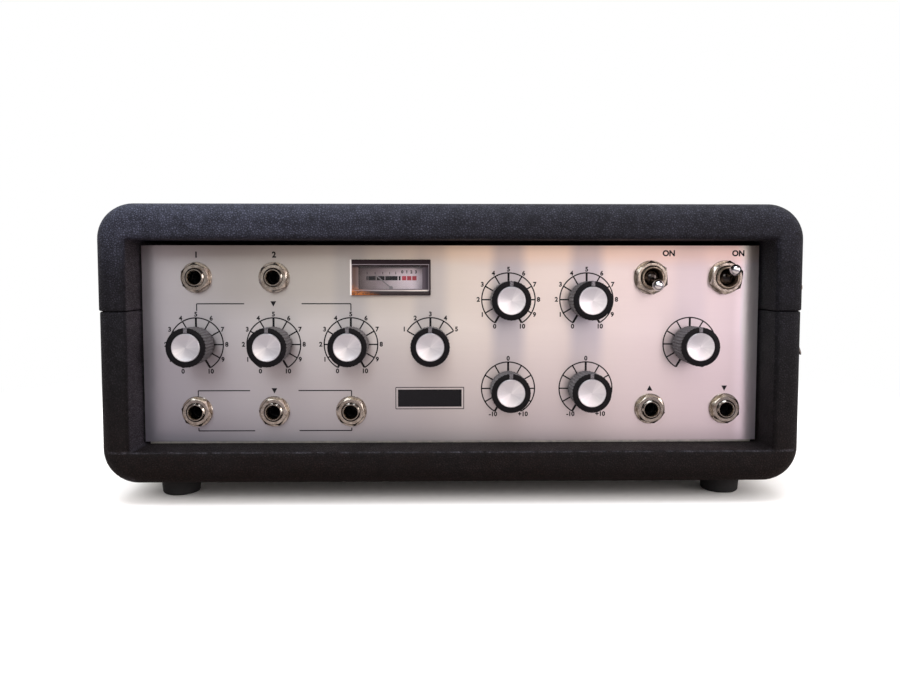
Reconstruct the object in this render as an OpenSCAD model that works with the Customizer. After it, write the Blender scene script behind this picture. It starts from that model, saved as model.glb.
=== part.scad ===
// Tape echo unit: a small head-shaped echo machine for microphones and instruments.
// The wooden case is covered in black leathercloth. Its upper part is a lid that is held by four snap
// catches and lifts off the tape deck. An aluminium control panel is set back in the front.
// X is to the right, Y to the back and Z up. The origin is on the floor, under the middle of the case.

/* [Case] */
// Width across the side walls of the lower part
case_w = 352.8; // [350:0.2:400]
// Depth from the front rim to the back rim
case_d = 260; // [255:1:320]
// Height of the closed case, without feet
case_h = 141; // [139:0.5:165]
// Radius of the four long corners, seen from the front
corner_r = 18; // [12:0.5:22]
// Radius of the front and back rims
rim_r = 10; // [4:0.5:11]
// Thickness of the side walls
side_wall = 15.4; // [14:0.1:20]
// Thickness of the lid's top board
top_wall = 18.1; // [14:0.1:20]
// Thickness of the bottom board
bottom_wall = 17.2; // [14:0.1:22]
// How far the lid stands out past the lower part on each side
lid_proud = 0.45; // [0:0.05:1.5]
// Height of the lid's lower edge above the bottom of the case
lid_split = 87.4; // [80:0.2:92]
// Gap between the lid and the lower part
lid_gap = 0.3; // [0.2:0.1:0.6]
// Height of the tongue that keeps the lid in place
tongue_h = 6; // [3:0.5:10]
// Thickness of that tongue
tongue_t = 4; // [2:0.5:6]
// Free space round the tongue in its rebate
tongue_fit = 0.4; // [0.3:0.1:1]
// How far the tongue stops short of the front and back rims
tongue_stop = 30; // [20:1:50]

/* [Feet] */
// Height of a rubber foot
foot_h = 10; // [6:0.5:16]
// Diameter of a foot where it meets the case
foot_d = 21; // [16:0.5:26]
// Diameter of a foot at the floor
foot_tip_d = 19; // [15:0.5:22]
// Distance of a foot's axis from the side of the case
foot_side = 32.0; // [20:0.2:60]
// Distance of a foot's axis from the front and back rims
foot_end = 28; // [22:0.5:60]

/* [Control panel] */
// How far the panel lies behind the front rim
recess = 20; // [19:0.5:26]
// Thickness of the panel
panel_t = 1.5; // [1:0.1:2.5]
// Gap between the panel and each side wall
panel_side_gap = 1; // [0.5:0.1:2]
// Gap under the panel
panel_low_gap = 1.3; // [0.5:0.1:2]
// Gap above the panel
panel_top_gap = 2.4; // [1.5:0.1:4]
// Distance between neighbouring microphone controls
mic_pitch = 40; // [34:0.2:42]
// Place of the third microphone volume control, left of the middle
mic_left = 52.7; // [50:0.1:56]
// Drop of the middle row below the middle of the panel
row_drop = 0.3; // [0:0.1:2]
// Place of the mode switch, left of the middle
mode_left = 11.4; // [8:0.1:14]
// Place of the repeat and bass controls, right of the middle
tone_right = 29.2; // [26:0.1:32]
// Distance between neighbouring tone controls
tone_pitch = 40.7; // [36:0.1:43]
// Distance between the two rows of tone controls
tone_rows = 46.5; // [40:0.1:50]
// Place of the delay time control, right of the middle
delay_right = 124.3; // [112:0.1:130]
// Height of the line inputs and switches above the middle row
upper_row = 34.8; // [32:0.1:38]
// Drop of the microphone inputs below the middle row
mic_in_drop = 34.9; // [32:0.1:38]
// Drop of the output and foot switch jacks below the middle row
out_drop = 34; // [32:0.1:38]
// Place of the first line input, left of the middle
line_left = 132; // [125:0.1:138]
// Place of the standby switch, right of the middle
standby_right = 103.3; // [100:0.1:108]
// Place of the power switch, right of the middle
power_right = 142.3; // [136:0.1:148]
// Place of the output jack, right of the middle
output_right = 103.7; // [100:0.1:108]
// Place of the foot switch jack, right of the middle
foot_jack_right = 143.1; // [136:0.1:148]

/* [Knobs] */
// Diameter of a knob
knob_d = 20.0; // [19:0.5:24]
// Height of a knob's top above the panel
knob_h = 17; // [16:0.5:18.5]
// Gap between a knob and the panel
knob_lift = 0.8; // [0.5:0.1:1.5]
// Number of flutes round a knob
flutes = 36; // [24:2:48]
// Depth of a flute
flute_depth = 0.5; // [0.2:0.1:0.8]
// Diameter of the aluminium cap set into a knob
cap_d = 14.4; // [10:0.2:16]
// Thickness of that cap
cap_t = 1.2; // [0.8:0.1:1.6]
// Diameter of a control's spindle
spindle_d = 6; // [5:0.1:6.4]
// Diameter of a volume control's case
pot_d = 24; // [16:0.5:26]
// Depth of a volume control's case
pot_depth = 10; // [8:0.5:14]
// Diameter of the mode switch's case
rotary_d = 30; // [24:0.5:34]
// Depth of the mode switch's case
rotary_depth = 16; // [10:0.5:20]
// Diameter of the threaded bush of a volume control and of the mode switch
bush_d = 9.4; // [8:0.1:10]

/* [Jacks, switches and meter] */
// Diameter of a jack's threaded bush
jack_bush_d = 9.5; // [9:0.1:11]
// Diameter of a jack's plug hole
jack_bore_d = 6.5; // [6.4:0.05:6.8]
// Depth of a jack's plug hole
jack_bore_l = 24; // [20:0.5:26]
// Width and height of a jack's body
jack_body_w = 15; // [13:0.5:18]
// Depth of a jack's body behind the panel
jack_body_l = 22; // [20:0.5:30]
// Distance across the flats of a jack's nut
jack_nut_af = 13.4; // [12.5:0.1:15]
// Diameter of a jack's washer
jack_washer_d = 16; // [15:0.2:18]
// Diameter of a toggle switch's threaded bush
toggle_bush_d = 12; // [11:0.1:13]
// Distance across the flats of a toggle switch's nut
toggle_nut_af = 15.4; // [14:0.1:16]
// Tilt of a toggle lever each way
toggle_tilt = 16; // [12:0.5:17]
// Length of a toggle lever from its pivot to the middle of its ball
toggle_l = 14; // [12:0.5:15]
// Diameter of the ball at the lever's end
toggle_ball_d = 5.5; // [4.5:0.1:6]
// Width of the meter's bezel
meter_w = 41.6; // [38:0.1:46]
// Height of the meter's bezel
meter_h = 18.5; // [18:0.1:20]
// How far the meter's bezel stands out of the panel
meter_out = 2.5; // [2:0.1:4]
// Depth of the meter's body behind the panel
meter_depth = 24; // [14:0.5:30]
// Width of the meter's window
window_w = 33; // [28:0.1:35]
// Height of the meter's window
window_h = 12; // [10:0.1:13]
// Place of the meter's middle, left of the middle of the panel
meter_left = 32; // [30:0.1:34]
// Swing of the meter's needle to each side of upright
needle_swing = 50; // [35:1:52]

/* [Chassis and deck] */
// Thickness of the chassis sheet
sheet = 1.2; // [0.8:0.1:2]
// Thickness of the deck plate
deck_t = 2; // [1.5:0.1:3]
// How far the deck's surface lies below the lid's lower edge
deck_drop = 2.4; // [2:0.1:8]
// Distance from the panel's front to the front edge of the deck
deck_setback = 42; // [40:0.5:60]
// How far the rear plate lies in front of the back rim
rear_recess = 16; // [15:0.5:24]
// Height of the flanges that carry the rear plate
flange_h = 15; // [12:0.5:24]
// Diameter of a deck pillar
pillar_d = 8; // [6:0.5:10]

/* [Tape transport] */
// Width of the tape
tape_w = 6.3; // [6:0.1:6.4]
// Thickness of the tape's solid
tape_t = 0.3; // [0.2:0.05:0.5]
// Height of the tape's lower edge above the deck
tape_lift = 11; // [10.8:0.1:14]
// Distance between the left and right guides
loop_w = 180; // [172:1:184]
// Distance between the front and back guides
loop_d = 54; // [44:1:60]
// Diameter of a guide's sleeve
guide_d = 12; // [10:0.5:13]
// Diameter of the capstan shaft
capstan_d = 6; // [5:0.1:7]
// Diameter of the flywheel
flywheel_d = 72; // [60:1:74]
// Thickness of the flywheel's rim
flywheel_h = 11; // [9:0.5:14]
// Diameter of the motor's pulley
pulley_d = 14; // [10:0.5:18]
// Diameter of the motor
motor_d = 52; // [40:1:54]
// Height of the motor
motor_h = 38; // [30:0.5:40]
// Diameter of the pinch roller
roller_d = 18; // [16:0.5:20]
// Turn of the pinch arm from free to pressed on the tape
pinch_turn = 8; // [5:0.5:9]
// Width of a tape head
head_w = 12; // [9:0.5:14]
// Distance between neighbouring playback heads
head_pitch = 26; // [18:0.5:26]

/* [Catches] */
// Width of a catch
catch_w = 16; // [12:0.5:20]
// Height of a catch's hinge above the lid's lower edge
catch_hinge_up = 11.4; // [9:0.2:14]
// Drop of a catch's finger tab below the lid's lower edge
catch_drop = 24.4; // [22:0.2:28]
// How far the finger tab stands out of the lower part's side
catch_reach = 8.6; // [8:0.1:11]
// Distance of the right catches from the front and back rims
catch_end_right = 23; // [20:0.5:50]
// Distance of the left catches from the front and back rims
catch_end_left = 28; // [20:0.5:50]
// How far a catch's nib lies under its stud
catch_bite = 0.5; // [0.3:0.05:0.6]

/* [Clearances] */
// Radial clearance of a shaft that turns in a bore
run_fit = 0.05; // [0.02:0.01:0.1]
// Radial clearance of a screw, bush or pin that stays still in its hole
still_fit = 0.05; // [0.02:0.01:0.2]
// Gap between pieces that move past each other
move_gap = 0.3; // [0.2:0.05:0.5]

/* [Hidden] */
$fn = 48;

// A little more than the material, so that a cut goes right through it
through = 1;

// Heights
base_z = foot_h;
split_z = base_z + lid_split;
case_top = base_z + case_h;
inner_floor = base_z + bottom_wall;
inner_top = case_top - top_wall;
tray_top = inner_floor + sheet;
panel_low = inner_floor + panel_low_gap;
panel_high = inner_top - panel_top_gap;
panel_mid_z = (panel_low + panel_high) / 2;
deck_top = split_z - deck_drop;
deck_under = deck_top - deck_t;

// Widths and depths
base_side = case_w / 2;
lid_side = base_side + lid_proud;
inner_side = base_side - side_wall;
panel_w = 2 * (inner_side - panel_side_gap);
panel_y = recess - case_d / 2;
wall_front = panel_y + panel_t;
wall_back = wall_front + sheet;
rear_y = case_d / 2 - rear_recess;
flange_front = rear_y - sheet;
deck_front = panel_y + deck_setback;
deck_mid_y = (deck_front + rear_y) / 2;

// Places on the panel, as distances from its middle to the right and up. Those to the right are drawn
// for one width of the panel, and spread or close up with it.
layout_w = 320;
spread = panel_w / layout_w;
mid_row = -row_drop;
mic_volume_at = [for (i = [0:2]) [-spread * (mic_left + (2 - i) * mic_pitch), mid_row]];
mode_at = [-spread * mode_left, mid_row];
repeat_at = [spread * tone_right, mid_row + tone_rows / 2];
echo_at = [spread * (tone_right + tone_pitch), mid_row + tone_rows / 2];
bass_at = [spread * tone_right, mid_row - tone_rows / 2];
treble_at = [spread * (tone_right + tone_pitch), mid_row - tone_rows / 2];
delay_at = [spread * delay_right, mid_row];
pots_at = concat(mic_volume_at, [repeat_at, echo_at, bass_at, treble_at, delay_at]);
line_in_at = [for (i = [0:1]) [-spread * (line_left - i * mic_pitch), mid_row + upper_row]];
mic_in_at = [for (p = mic_volume_at) [p[0], mid_row - mic_in_drop]];
output_at = [spread * output_right, mid_row - out_drop];
foot_jack_at = [spread * foot_jack_right, mid_row - out_drop];
jacks_at = concat(line_in_at, mic_in_at, [output_at, foot_jack_at]);
standby_at = [spread * standby_right, mid_row + upper_row];
power_at = [spread * power_right, mid_row + upper_row];
toggles_at = [standby_at, power_at];
meter_at = [-spread * meter_left, mid_row + upper_row];

// Depths along a control's axis, counted outward from the panel's front
behind = -panel_t - sheet;
pot_nut_t = 2;
pot_washer_t = 0.6;
bush_out = 3.4;
nut_clear = 0.6;
pot_nut_af = 12;
pot_washer_d = 14;
lug_pitch = 5;
lug_w = 2.2;
lug_l = 7;
lug_t = 0.8;
jack_nut_t = 2.4;
jack_washer_t = 0.8;
jack_thread_out = 1;
jack_bush_out = jack_washer_t + jack_nut_t + jack_thread_out;
toggle_nut_t = 3.4;
toggle_washer_t = 0.6;
toggle_washer_d = 17.6;
toggle_thread_out = 1.5;
toggle_bush_out = toggle_washer_t + toggle_nut_t + toggle_thread_out;
washer_gap = 0.04;

// Knobs and spindles
spindle_r = spindle_d / 2;
knob_crown = 3;
spindle_top = knob_h - knob_crown;
spindle_in = 4;
knob_hollow_r = pot_washer_d / 2 + nut_clear;
knob_hollow_top = bush_out + nut_clear;
knob_r = knob_d / 2;

// Toggle levers
toggle_bush_wall = 1.6;
lever_bore_r = toggle_bush_d / 2 - toggle_bush_wall;
lever_ball_play = 0.03;
lever_ball_r = lever_bore_r - run_fit - lever_ball_play;
lever_neck_in = 1;
lever_tail = 5;
lever_neck_r = 1.3;
lever_bat_r = 2.1;
lever_tail_r = 1.4;
lever_well = 9;
toggle_body_w = 13;
toggle_body_h = 20;
toggle_body_l = 16;

// Meter
meter_wall = 1.2;
bezel_lap_w = 2.3;
bezel_lap_h = 1.15;
meter_body_w = meter_w - 2 * bezel_lap_w;
meter_body_h = meter_h - 2 * bezel_lap_h;
meter_room_w = meter_body_w - 2 * meter_wall;
meter_room_h = meter_body_h - 2 * meter_wall;
dial_depth = 6;
dial_t = 0.5;
lens_t = 1.2;
lens_sink = 0.5;
lens_out = meter_out - lens_sink;
needle_hub_r = 1;
needle_side_gap = 0.4;
needle_end_gap = 1.6;
needle_low = meter_room_h / 2 - needle_hub_r - needle_side_gap;
needle_l = meter_room_h / 2 + needle_low - needle_end_gap;
needle_w = 0.6;
needle_t = 0.3;
needle_over_dial = 1.4;
needle_out = dial_depth - dial_t - needle_over_dial;
needle_hub_low = 0.4;
needle_hub_over = 0.3;
needle_pin_r = 0.4;
needle_pin_in = 3;

// Screws
screw_r = 1.5;
screw_head_r = 2.8;
screw_head_h = 1.8;
deck_screw_l = 9;
rear_screw_l = 5;
foot_screw_r = 2;
foot_screw_head_r = 4;
foot_screw_head_h = 2.4;
foot_screw_bite = 11;
foot_hollow = 4;
chassis_screw_r = 2.5;
chassis_head_r = 4.8;
chassis_head_h = 3.4;
chassis_nut_af = 8;
chassis_nut_t = 4;
chassis_sink = 4;
sink_gap = 0.4;
chassis_screw_side = 65;
chassis_screw_end = 50;
screw_end = 1;
chassis_screws_at = [
    for (x = [-1, 1], y = [-1, 1])
        [x * (inner_side - chassis_screw_side), y * (case_d / 2 - chassis_screw_end)]
];
feet_at = [for (x = [-1, 1], y = [-1, 1]) [x * (base_side - foot_side), y * (case_d / 2 - foot_end)]];

// Deck pillars
pillar_inset = 9;
deck_side_gap = 3;
pillar_x = inner_side - deck_side_gap - pillar_inset;
pillars_at = concat(
    [for (x = [-1, 0, 1]) [x * pillar_x, deck_front + pillar_inset]],
    [for (x = [-1, 0, 1]) [x * pillar_x, flange_front - pillar_inset]]
);
pillar_stub_r = 2;
deck_w = 2 * (inner_side - deck_side_gap);
rear_screw_side = 18;
rear_screw_x = inner_side - rear_screw_side;
rear_screws_at = [
    for (x = [-1, 1]) [x * rear_screw_x, tray_top + flange_h / 2],
    for (x = [-1, 1]) [x * rear_screw_x, deck_top - flange_h / 2]
];

// Tape path: the guides stand at the corners of a rectangle, inside the loop
guide_r = guide_d / 2;
loop_mid_x = -10;
loop_front_in = 34;
loop_left = loop_mid_x - loop_w / 2;
loop_right = loop_mid_x + loop_w / 2;
loop_front = deck_mid_y - loop_front_in;
loop_back = loop_front + loop_d;
tape_low = deck_top + tape_lift;
tape_in_r = guide_r + move_gap;
tape_out_r = tape_in_r + tape_t;
tape_front_in = loop_front - tape_in_r;
tape_front_out = loop_front - tape_out_r;
guide_play = 0.5;
guide_flange_t = 1.5;
guide_lip = 2;
guide_flange_d = guide_d + 2 * guide_lip;
guide_post_r = 4;

// Capstan, flywheel and pinch roller
capstan_r = capstan_d / 2;
capstan_in = 30;
capstan_x = loop_right - capstan_in;
capstan_y = tape_front_in + move_gap + capstan_r;
capstan_over = 6;
capstan_top = tape_low + tape_w + capstan_over;
flywheel_lift = 10;
flywheel_low = tray_top + flywheel_lift;
flywheel_rim = 8;
flywheel_web = 4;
hub_over = 5;
thrust_h = 6;
thrust_r = 8;
hub_r = 9;
bearing_r = 7;
bearing_flange_r = 12;
bearing_flange_t = 3;
bearing_over = 12;
bearing_low = flywheel_low + flywheel_h + bearing_over;
roller_r = roller_d / 2;
roller_over = 4;
roller_h = tape_w + roller_over;
roller_pin_r = 2.5;
roller_on = [capstan_x, tape_front_out - move_gap - roller_r];
arm_t = 3;
arm_lift = 1.5;
arm_low = deck_top + bearing_flange_t + arm_lift;
pinch_reach = 38;
pinch_set_front = 8;
pinch_pivot = [capstan_x + pinch_reach, roller_on[1] - pinch_set_front];
pinch_hub_r = 6;
pinch_tip_r = 5;
arm_half_w = 4.4;
pinch_grip_l = 14;
grip_r = 3.5;
grip_h = 20;
pinch_hub_over = 3;
post_over = 1;
pivot_r = 2.5;
roller_span = roller_on - pinch_pivot;
roller_at = pinch_pivot + turned(roller_span, pinch_turn);
roller_low = arm_low + arm_t + move_gap;

// Tension arm, which carries the fourth guide
tension_reach = 25;
tension_pivot = [loop_left - tension_reach, loop_back - tension_reach];
tension_guide = [loop_left, loop_back];
tension_lift = 2;
tension_low = deck_top + tension_lift;
tension_hub_h = 6;

// Motor and belt
motor_left = 25;
motor_front = 5;
motor_x = loop_mid_x - motor_left;
motor_y = deck_mid_y - motor_front;
motor_cover = 8;
motor_screw_in = 6;
motor_shaft_r = 2.5;
motor_low = deck_under - motor_h;
pulley_r = pulley_d / 2;
flywheel_r = flywheel_d / 2;
belt_w = 4;
belt_t = 1.2;
belt_low = flywheel_low + (flywheel_h - belt_w) / 2;
motor_screws_at = [for (s = [-1, 1]) [motor_x + s * (motor_d / 2 - motor_screw_in), motor_y]];

// Heads, in the order in which the tape meets them
head_d = 14;
head_h = 18;
bridge_t = 3;
head_gap = 0.1;
head_back = tape_front_out - head_gap;
head_to_capstan = 34;
record_step = 20;
erase_step = 18;
playback_x = [for (i = [0:2]) capstan_x - head_to_capstan - (2 - i) * head_pitch];
record_x = playback_x[0] - record_step;
erase_x = record_x - erase_step;
bridge_over = 13;
bridge_left = erase_x - head_w / 2 - bridge_over;
bridge_right = playback_x[2] + head_w / 2 + bridge_over;
bridge_back = 2;
bridge_screw_in = 5;
bridge_screws_at = [
    for (x = [bridge_left + bridge_screw_in, bridge_right - bridge_screw_in]) [x, head_back - head_d / 2]
];

// Power supply and electronics
core = [34, 52, 44];
core_window = [10, 28];
core_side_gap = 22;
core_rear_gap = 21.8;
core_at = [inner_side - core_side_gap - core[0] / 2, flange_front - core_rear_gap - core[1] / 2];
coil_out = 9;
coil_fit = 0.3;
board = [84, 130, 1.6];
board_side_gap = 10;
board_front = 2;
board_at = [-inner_side + board_side_gap + board[0] / 2, deck_mid_y - board_front];
board_lift = 10;
board_spacer_r = 3;
board_inset = 6;
cans = [
    [-24, -38, 8, 26], [-2, -38, 8, 26], [22, -36, 6, 18],
    [-22, 10, 5, 12], [6, 6, 5, 12], [24, 24, 4, 10]
];
board_blocks = [[-18, 40, 22, 12, 8], [14, 46, 18, 10, 6], [-4, -10, 30, 6, 4]];

// Back of the case
inlet_up = 28;
gland_side = 40;
fuse_side = 72;
gland_at = [inner_side - gland_side, tray_top + inlet_up];
fuse_at = [inner_side - fuse_side, tray_top + inlet_up];
gland_r = 6;
gland_flange_r = 9;
gland_flange_t = 3;
gland_bore_r = 3.5;
gland_out = 11;
gland_in = 8;
fuse_r = 6;
fuse_cap_r = 8;
fuse_out = 10;
fuse_in = 26;
vents = 10;
vent_w = 3;
vent_h = 26;
vent_pitch = 8;
vent_side = 60;
vent_x = -inner_side + vent_side;

// Catches, drawn for the right side
plate_t = 1.2;
catch_t = 1.2;
barrel_r = 2.2;
hinge_pin_r = 1.2;
hinge_x = lid_side + plate_t + barrel_r + 2 * move_gap;
hinge_z = split_z + catch_hinge_up;
catch_out = hinge_x + barrel_r;
catch_in = catch_out - catch_t;
stud_clear = 1.5;
stud_drop = 14.6;
stud_in = 1;
stud_out = catch_in - stud_clear;
stud_low = split_z - stud_drop;
stud_h = 2;
nib_gap = 1.1;
nib_h = 1.8;
nib_in = stud_out - catch_bite;
tab_x = base_side + catch_reach;
tab_z = split_z - catch_drop;
tab_t = 1.4;
ear_t = 1.6;
ear_r = 3;
plate_h = 20;
plate_lap = 1.5;
plate_w = catch_w + 2 * (ear_t + move_gap + plate_lap);
stud_plate_h = 12;

// Turns a flat vector anticlockwise
function turned(v, a) = [v[0] * cos(a) - v[1] * sin(a), v[0] * sin(a) + v[1] * cos(a)];

// Places children on the panel: their X is to the right, their Y up and their Z out of the panel
module on_panel(at) {
    translate([at[0], panel_y, panel_mid_z + at[1]]) rotate([90, 0, 0]) children();
}

// Places children at a point of the plan
module on_plan(at) {
    translate([at[0], at[1], 0]) children();
}

// A cylinder between two heights
module rod(r, low, high) {
    translate([0, 0, low]) cylinder(r = r, h = high - low);
}

// A ring between two heights
module ring(outer, inner, low, high) {
    difference() {
        rod(outer, low, high);
        rod(inner, low - through, high + through);
    }
}

// A box between two corners
module span(low, high) {
    translate(low) cube(high - low);
}

// A hexagonal nut between two heights
module hex_nut(flats, hole_r, low, high) {
    difference() {
        translate([0, 0, low]) cylinder(d = flats / cos(30), h = high - low, $fn = 6);
        rod(hole_r, low - through, high + through);
    }
}

// A screw under a round head: the head starts at height 0, and the shank points down
module screw(shank_r, shank_l, head_r, head_h) {
    rod(shank_r, -shank_l, through / 2);
    rod(head_r, 0, head_h);
}

// The case as one block: rounded along its four long corners and round both rims
module case_block(half_w) {
    hull() {
        for (x = [-1, 1], y = [-1, 1], z = [base_z + corner_r, case_top - corner_r]) {
            translate([x * (half_w - corner_r), y * (case_d / 2 - rim_r), z])
                rotate([90, 0, 0])
                    rotate_extrude($fn = 32)
                        intersection() {
                            translate([corner_r - rim_r, 0]) circle(r = rim_r, $fn = 32);
                            translate([0, -rim_r]) square([corner_r, 2 * rim_r]);
                        }
        }
    }
}

// The space in the case, open to the front and the back
module case_space() {
    span(
        [-inner_side, -case_d / 2 - through, inner_floor],
        [inner_side, case_d / 2 + through, inner_top]
    );
}

// The tongue on both side walls, with room all round it where it is cut as a rebate
module tongue(room) {
    for (x = [-1, 1]) {
        scale([x, 1, 1])
            span(
                [inner_side - room, -case_d / 2 + tongue_stop - room, split_z - through],
                [inner_side + tongue_t + room, case_d / 2 - tongue_stop + room, split_z + tongue_h + room]
            );
    }
}

// Every hole through which a control passes, cut through the panel and the chassis
module control_holes() {
    for (at = concat(pots_at, [mode_at])) {
        on_panel(at) rod(bush_d / 2 + still_fit, behind - through, through);
    }
    for (at = jacks_at) {
        on_panel(at) rod(jack_bush_d / 2 + still_fit, behind - through, through);
    }
    for (at = toggles_at) {
        on_panel(at) rod(toggle_bush_d / 2 + still_fit, behind - through, through);
    }
    on_panel(meter_at)
        translate([0, 0, behind / 2])
            cube(
                [meter_body_w + 2 * still_fit, meter_body_h + 2 * still_fit, -behind + 2 * through],
                center = true
            );
}

// Lower part of the case: the bottom board and the lower half of both side walls
module base_tub() {
    color("#1b1c20") {
        difference() {
            union() {
                intersection() {
                    case_block(base_side);
                    span([-case_w, -case_d, 0], [case_w, case_d, split_z - lid_gap]);
                }
                intersection() {
                    tongue(0);
                    span([-case_w, -case_d, split_z - lid_gap - through], [case_w, case_d, case_top]);
                }
            }
            case_space();
            for (at = feet_at) {
                on_plan(at)
                    rod(foot_screw_r + still_fit, base_z - through, base_z + foot_screw_bite + sink_gap);
            }
            for (at = chassis_screws_at) {
                on_plan(at) {
                    rod(chassis_screw_r + still_fit, base_z - through, inner_floor + through);
                    rod(chassis_head_r + sink_gap, base_z - through, base_z + chassis_sink);
                }
            }
        }
    }
}

// Lid: the top board and the upper half of both side walls
module lid_shell() {
    color("#1d1e22") {
        difference() {
            intersection() {
                case_block(lid_side);
                span([-case_w, -case_d, split_z], [case_w, case_d, case_top + through]);
            }
            case_space();
            tongue(tongue_fit);
        }
    }
}

// Four rubber feet, each with a well for its screw
module rubber_feet() {
    color("#161616") {
        for (at = feet_at) {
            on_plan(at) {
                difference() {
                    cylinder(d1 = foot_tip_d, d2 = foot_d, h = foot_h);
                    rod(foot_screw_r + still_fit, -through, foot_h + through);
                    rod(foot_screw_head_r + sink_gap, -through, foot_hollow);
                }
            }
        }
    }
}

// Control panel of brushed aluminium
module control_panel() {
    color("#d8d2cd") {
        difference() {
            span([-panel_w / 2, panel_y, panel_low], [panel_w / 2, wall_front, panel_high]);
            control_holes();
        }
    }
}

// Chassis, three plates: the front wall behind the panel, the floor and a low bar on its rear edge
module chassis_tray() {
    color("#9a9b98") {
        difference() {
            union() {
                span([-deck_w / 2, wall_front, inner_floor], [deck_w / 2, wall_back, panel_high - sheet]);
                span([-deck_w / 2, wall_back + still_fit, inner_floor], [deck_w / 2, rear_y, tray_top]);
                span(
                    [-deck_w / 2, flange_front, tray_top + still_fit],
                    [deck_w / 2, rear_y, tray_top + flange_h]
                );
            }
            control_holes();
            for (at = pillars_at) {
                on_plan(at) rod(pillar_stub_r + still_fit, inner_floor - through, tray_top + through);
            }
            for (at = chassis_screws_at) {
                on_plan(at)
                    rod(chassis_screw_r + still_fit, inner_floor - through, tray_top + through);
            }
            rear_screw_holes();
        }
    }
}

// Holes of the screws that hold the rear plate
module rear_screw_holes() {
    for (at = rear_screws_at) {
        translate([at[0], rear_y, at[1]])
            rotate([90, 0, 0])
                rod(screw_r + still_fit, -sheet - through, sheet + through);
    }
}

// Rear plate with its vent slots
module rear_plate() {
    color("#2a2b2d") {
        difference() {
            span([-panel_w / 2, rear_y, panel_low], [panel_w / 2, rear_y + sheet, panel_high]);
            rear_screw_holes();
            at_back(gland_at) rod(gland_r + still_fit, -2 * sheet, 2 * sheet);
            at_back(fuse_at) rod(fuse_r + still_fit, -2 * sheet, 2 * sheet);
            for (i = [0:vents - 1]) {
                translate([vent_x + i * vent_pitch, rear_y + sheet / 2, panel_mid_z])
                    cube([vent_w, 2 * sheet, vent_h], center = true);
            }
        }
    }
}

// Places children on the rear plate: their Z points out of the back
module at_back(at) {
    translate([at[0], rear_y + sheet, at[1]]) rotate([-90, 0, 0]) children();
}

// Deck plate with a rear flange and the riveted posts on which the two arms turn
module deck_plate() {
    color("#8d8f8e") {
        difference() {
            union() {
                span([-deck_w / 2, deck_front, deck_under], [deck_w / 2, rear_y, deck_top]);
                span([-deck_w / 2, flange_front, deck_top - flange_h], [deck_w / 2, rear_y, deck_top]);
                on_plan(pinch_pivot) {
                    rod(pivot_r, deck_under, arm_low + arm_t + pinch_hub_over + post_over);
                    rod(pinch_hub_r, deck_under, arm_low - move_gap);
                }
                on_plan(tension_pivot) {
                    rod(pivot_r, deck_under, tension_low + tension_hub_h + post_over);
                    rod(pinch_hub_r, deck_under, tension_low - move_gap);
                }
            }
            on_plan([capstan_x, capstan_y])
                rod(bearing_r + still_fit, deck_under - through, deck_top + through);
            for (at = concat(pillars_at, motor_screws_at, bridge_screws_at)) {
                on_plan(at) rod(screw_r + still_fit, deck_under - through, deck_top + through);
            }
            for (x = [loop_left, loop_right]) {
                on_plan([x, loop_front]) rod(screw_r + still_fit, deck_under - through, deck_top + through);
            }
            on_plan([loop_right, loop_back])
                rod(screw_r + still_fit, deck_under - through, deck_top + through);
            rear_screw_holes();
        }
    }
}

// Pillars that carry the deck above the chassis floor
module deck_pillars() {
    color("#b9bab8") {
        for (at = pillars_at) {
            on_plan(at) {
                difference() {
                    union() {
                        rod(pillar_d / 2, tray_top, deck_under);
                        rod(pillar_stub_r, inner_floor, tray_top + through);
                    }
                    rod(screw_r + still_fit, deck_under - deck_screw_l, deck_under + through);
                }
            }
        }
    }
}

// All screws: deck, motor, head bridge, rear plate, feet and chassis, the last with nuts
module screws() {
    color("#c4c4c2") {
        for (at = concat(pillars_at, motor_screws_at)) {
            translate([at[0], at[1], deck_top]) screw(screw_r, deck_screw_l, screw_head_r, screw_head_h);
        }
        for (at = bridge_screws_at) {
            translate([at[0], at[1], deck_top + bridge_t])
                screw(screw_r, bridge_t + deck_t + screw_end, screw_head_r, screw_head_h);
        }
        for (at = rear_screws_at) {
            translate([at[0], rear_y + sheet, at[1]])
                rotate([-90, 0, 0])
                    screw(screw_r, rear_screw_l, screw_head_r, screw_head_h);
        }
        for (at = feet_at) {
            translate([at[0], at[1], foot_hollow])
                rotate([180, 0, 0])
                    screw(
                        foot_screw_r,
                        foot_h - foot_hollow + foot_screw_bite,
                        foot_screw_head_r,
                        foot_screw_head_h
                    );
        }
        for (at = chassis_screws_at) {
            translate([at[0], at[1], base_z + chassis_sink])
                rotate([180, 0, 0])
                    screw(
                        chassis_screw_r,
                        bottom_wall - chassis_sink + sheet + chassis_nut_t + screw_end,
                        chassis_head_r,
                        chassis_head_h
                    );
            on_plan(at)
                hex_nut(chassis_nut_af, chassis_screw_r + still_fit, tray_top, tray_top + chassis_nut_t);
        }
    }
}

// A washer under a hexagonal nut, seated on the panel
module panel_nut(bush_r, washer_d, washer_t, flats, nut_t) {
    ring(washer_d / 2, bush_r + still_fit, 0, washer_t - washer_gap);
    hex_nut(flats, bush_r + still_fit, washer_t, washer_t + nut_t);
}

// Nuts and washers of every control, jack and switch
module panel_nuts() {
    color("#b8b4ac") {
        for (at = concat(pots_at, [mode_at])) {
            on_panel(at) panel_nut(bush_d / 2, pot_washer_d, pot_washer_t, pot_nut_af, pot_nut_t);
        }
        for (at = jacks_at) {
            on_panel(at) panel_nut(jack_bush_d / 2, jack_washer_d, jack_washer_t, jack_nut_af, jack_nut_t);
        }
        for (at = toggles_at) {
            on_panel(at)
                panel_nut(toggle_bush_d / 2, toggle_washer_d, toggle_washer_t, toggle_nut_af, toggle_nut_t);
        }
    }
}

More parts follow.
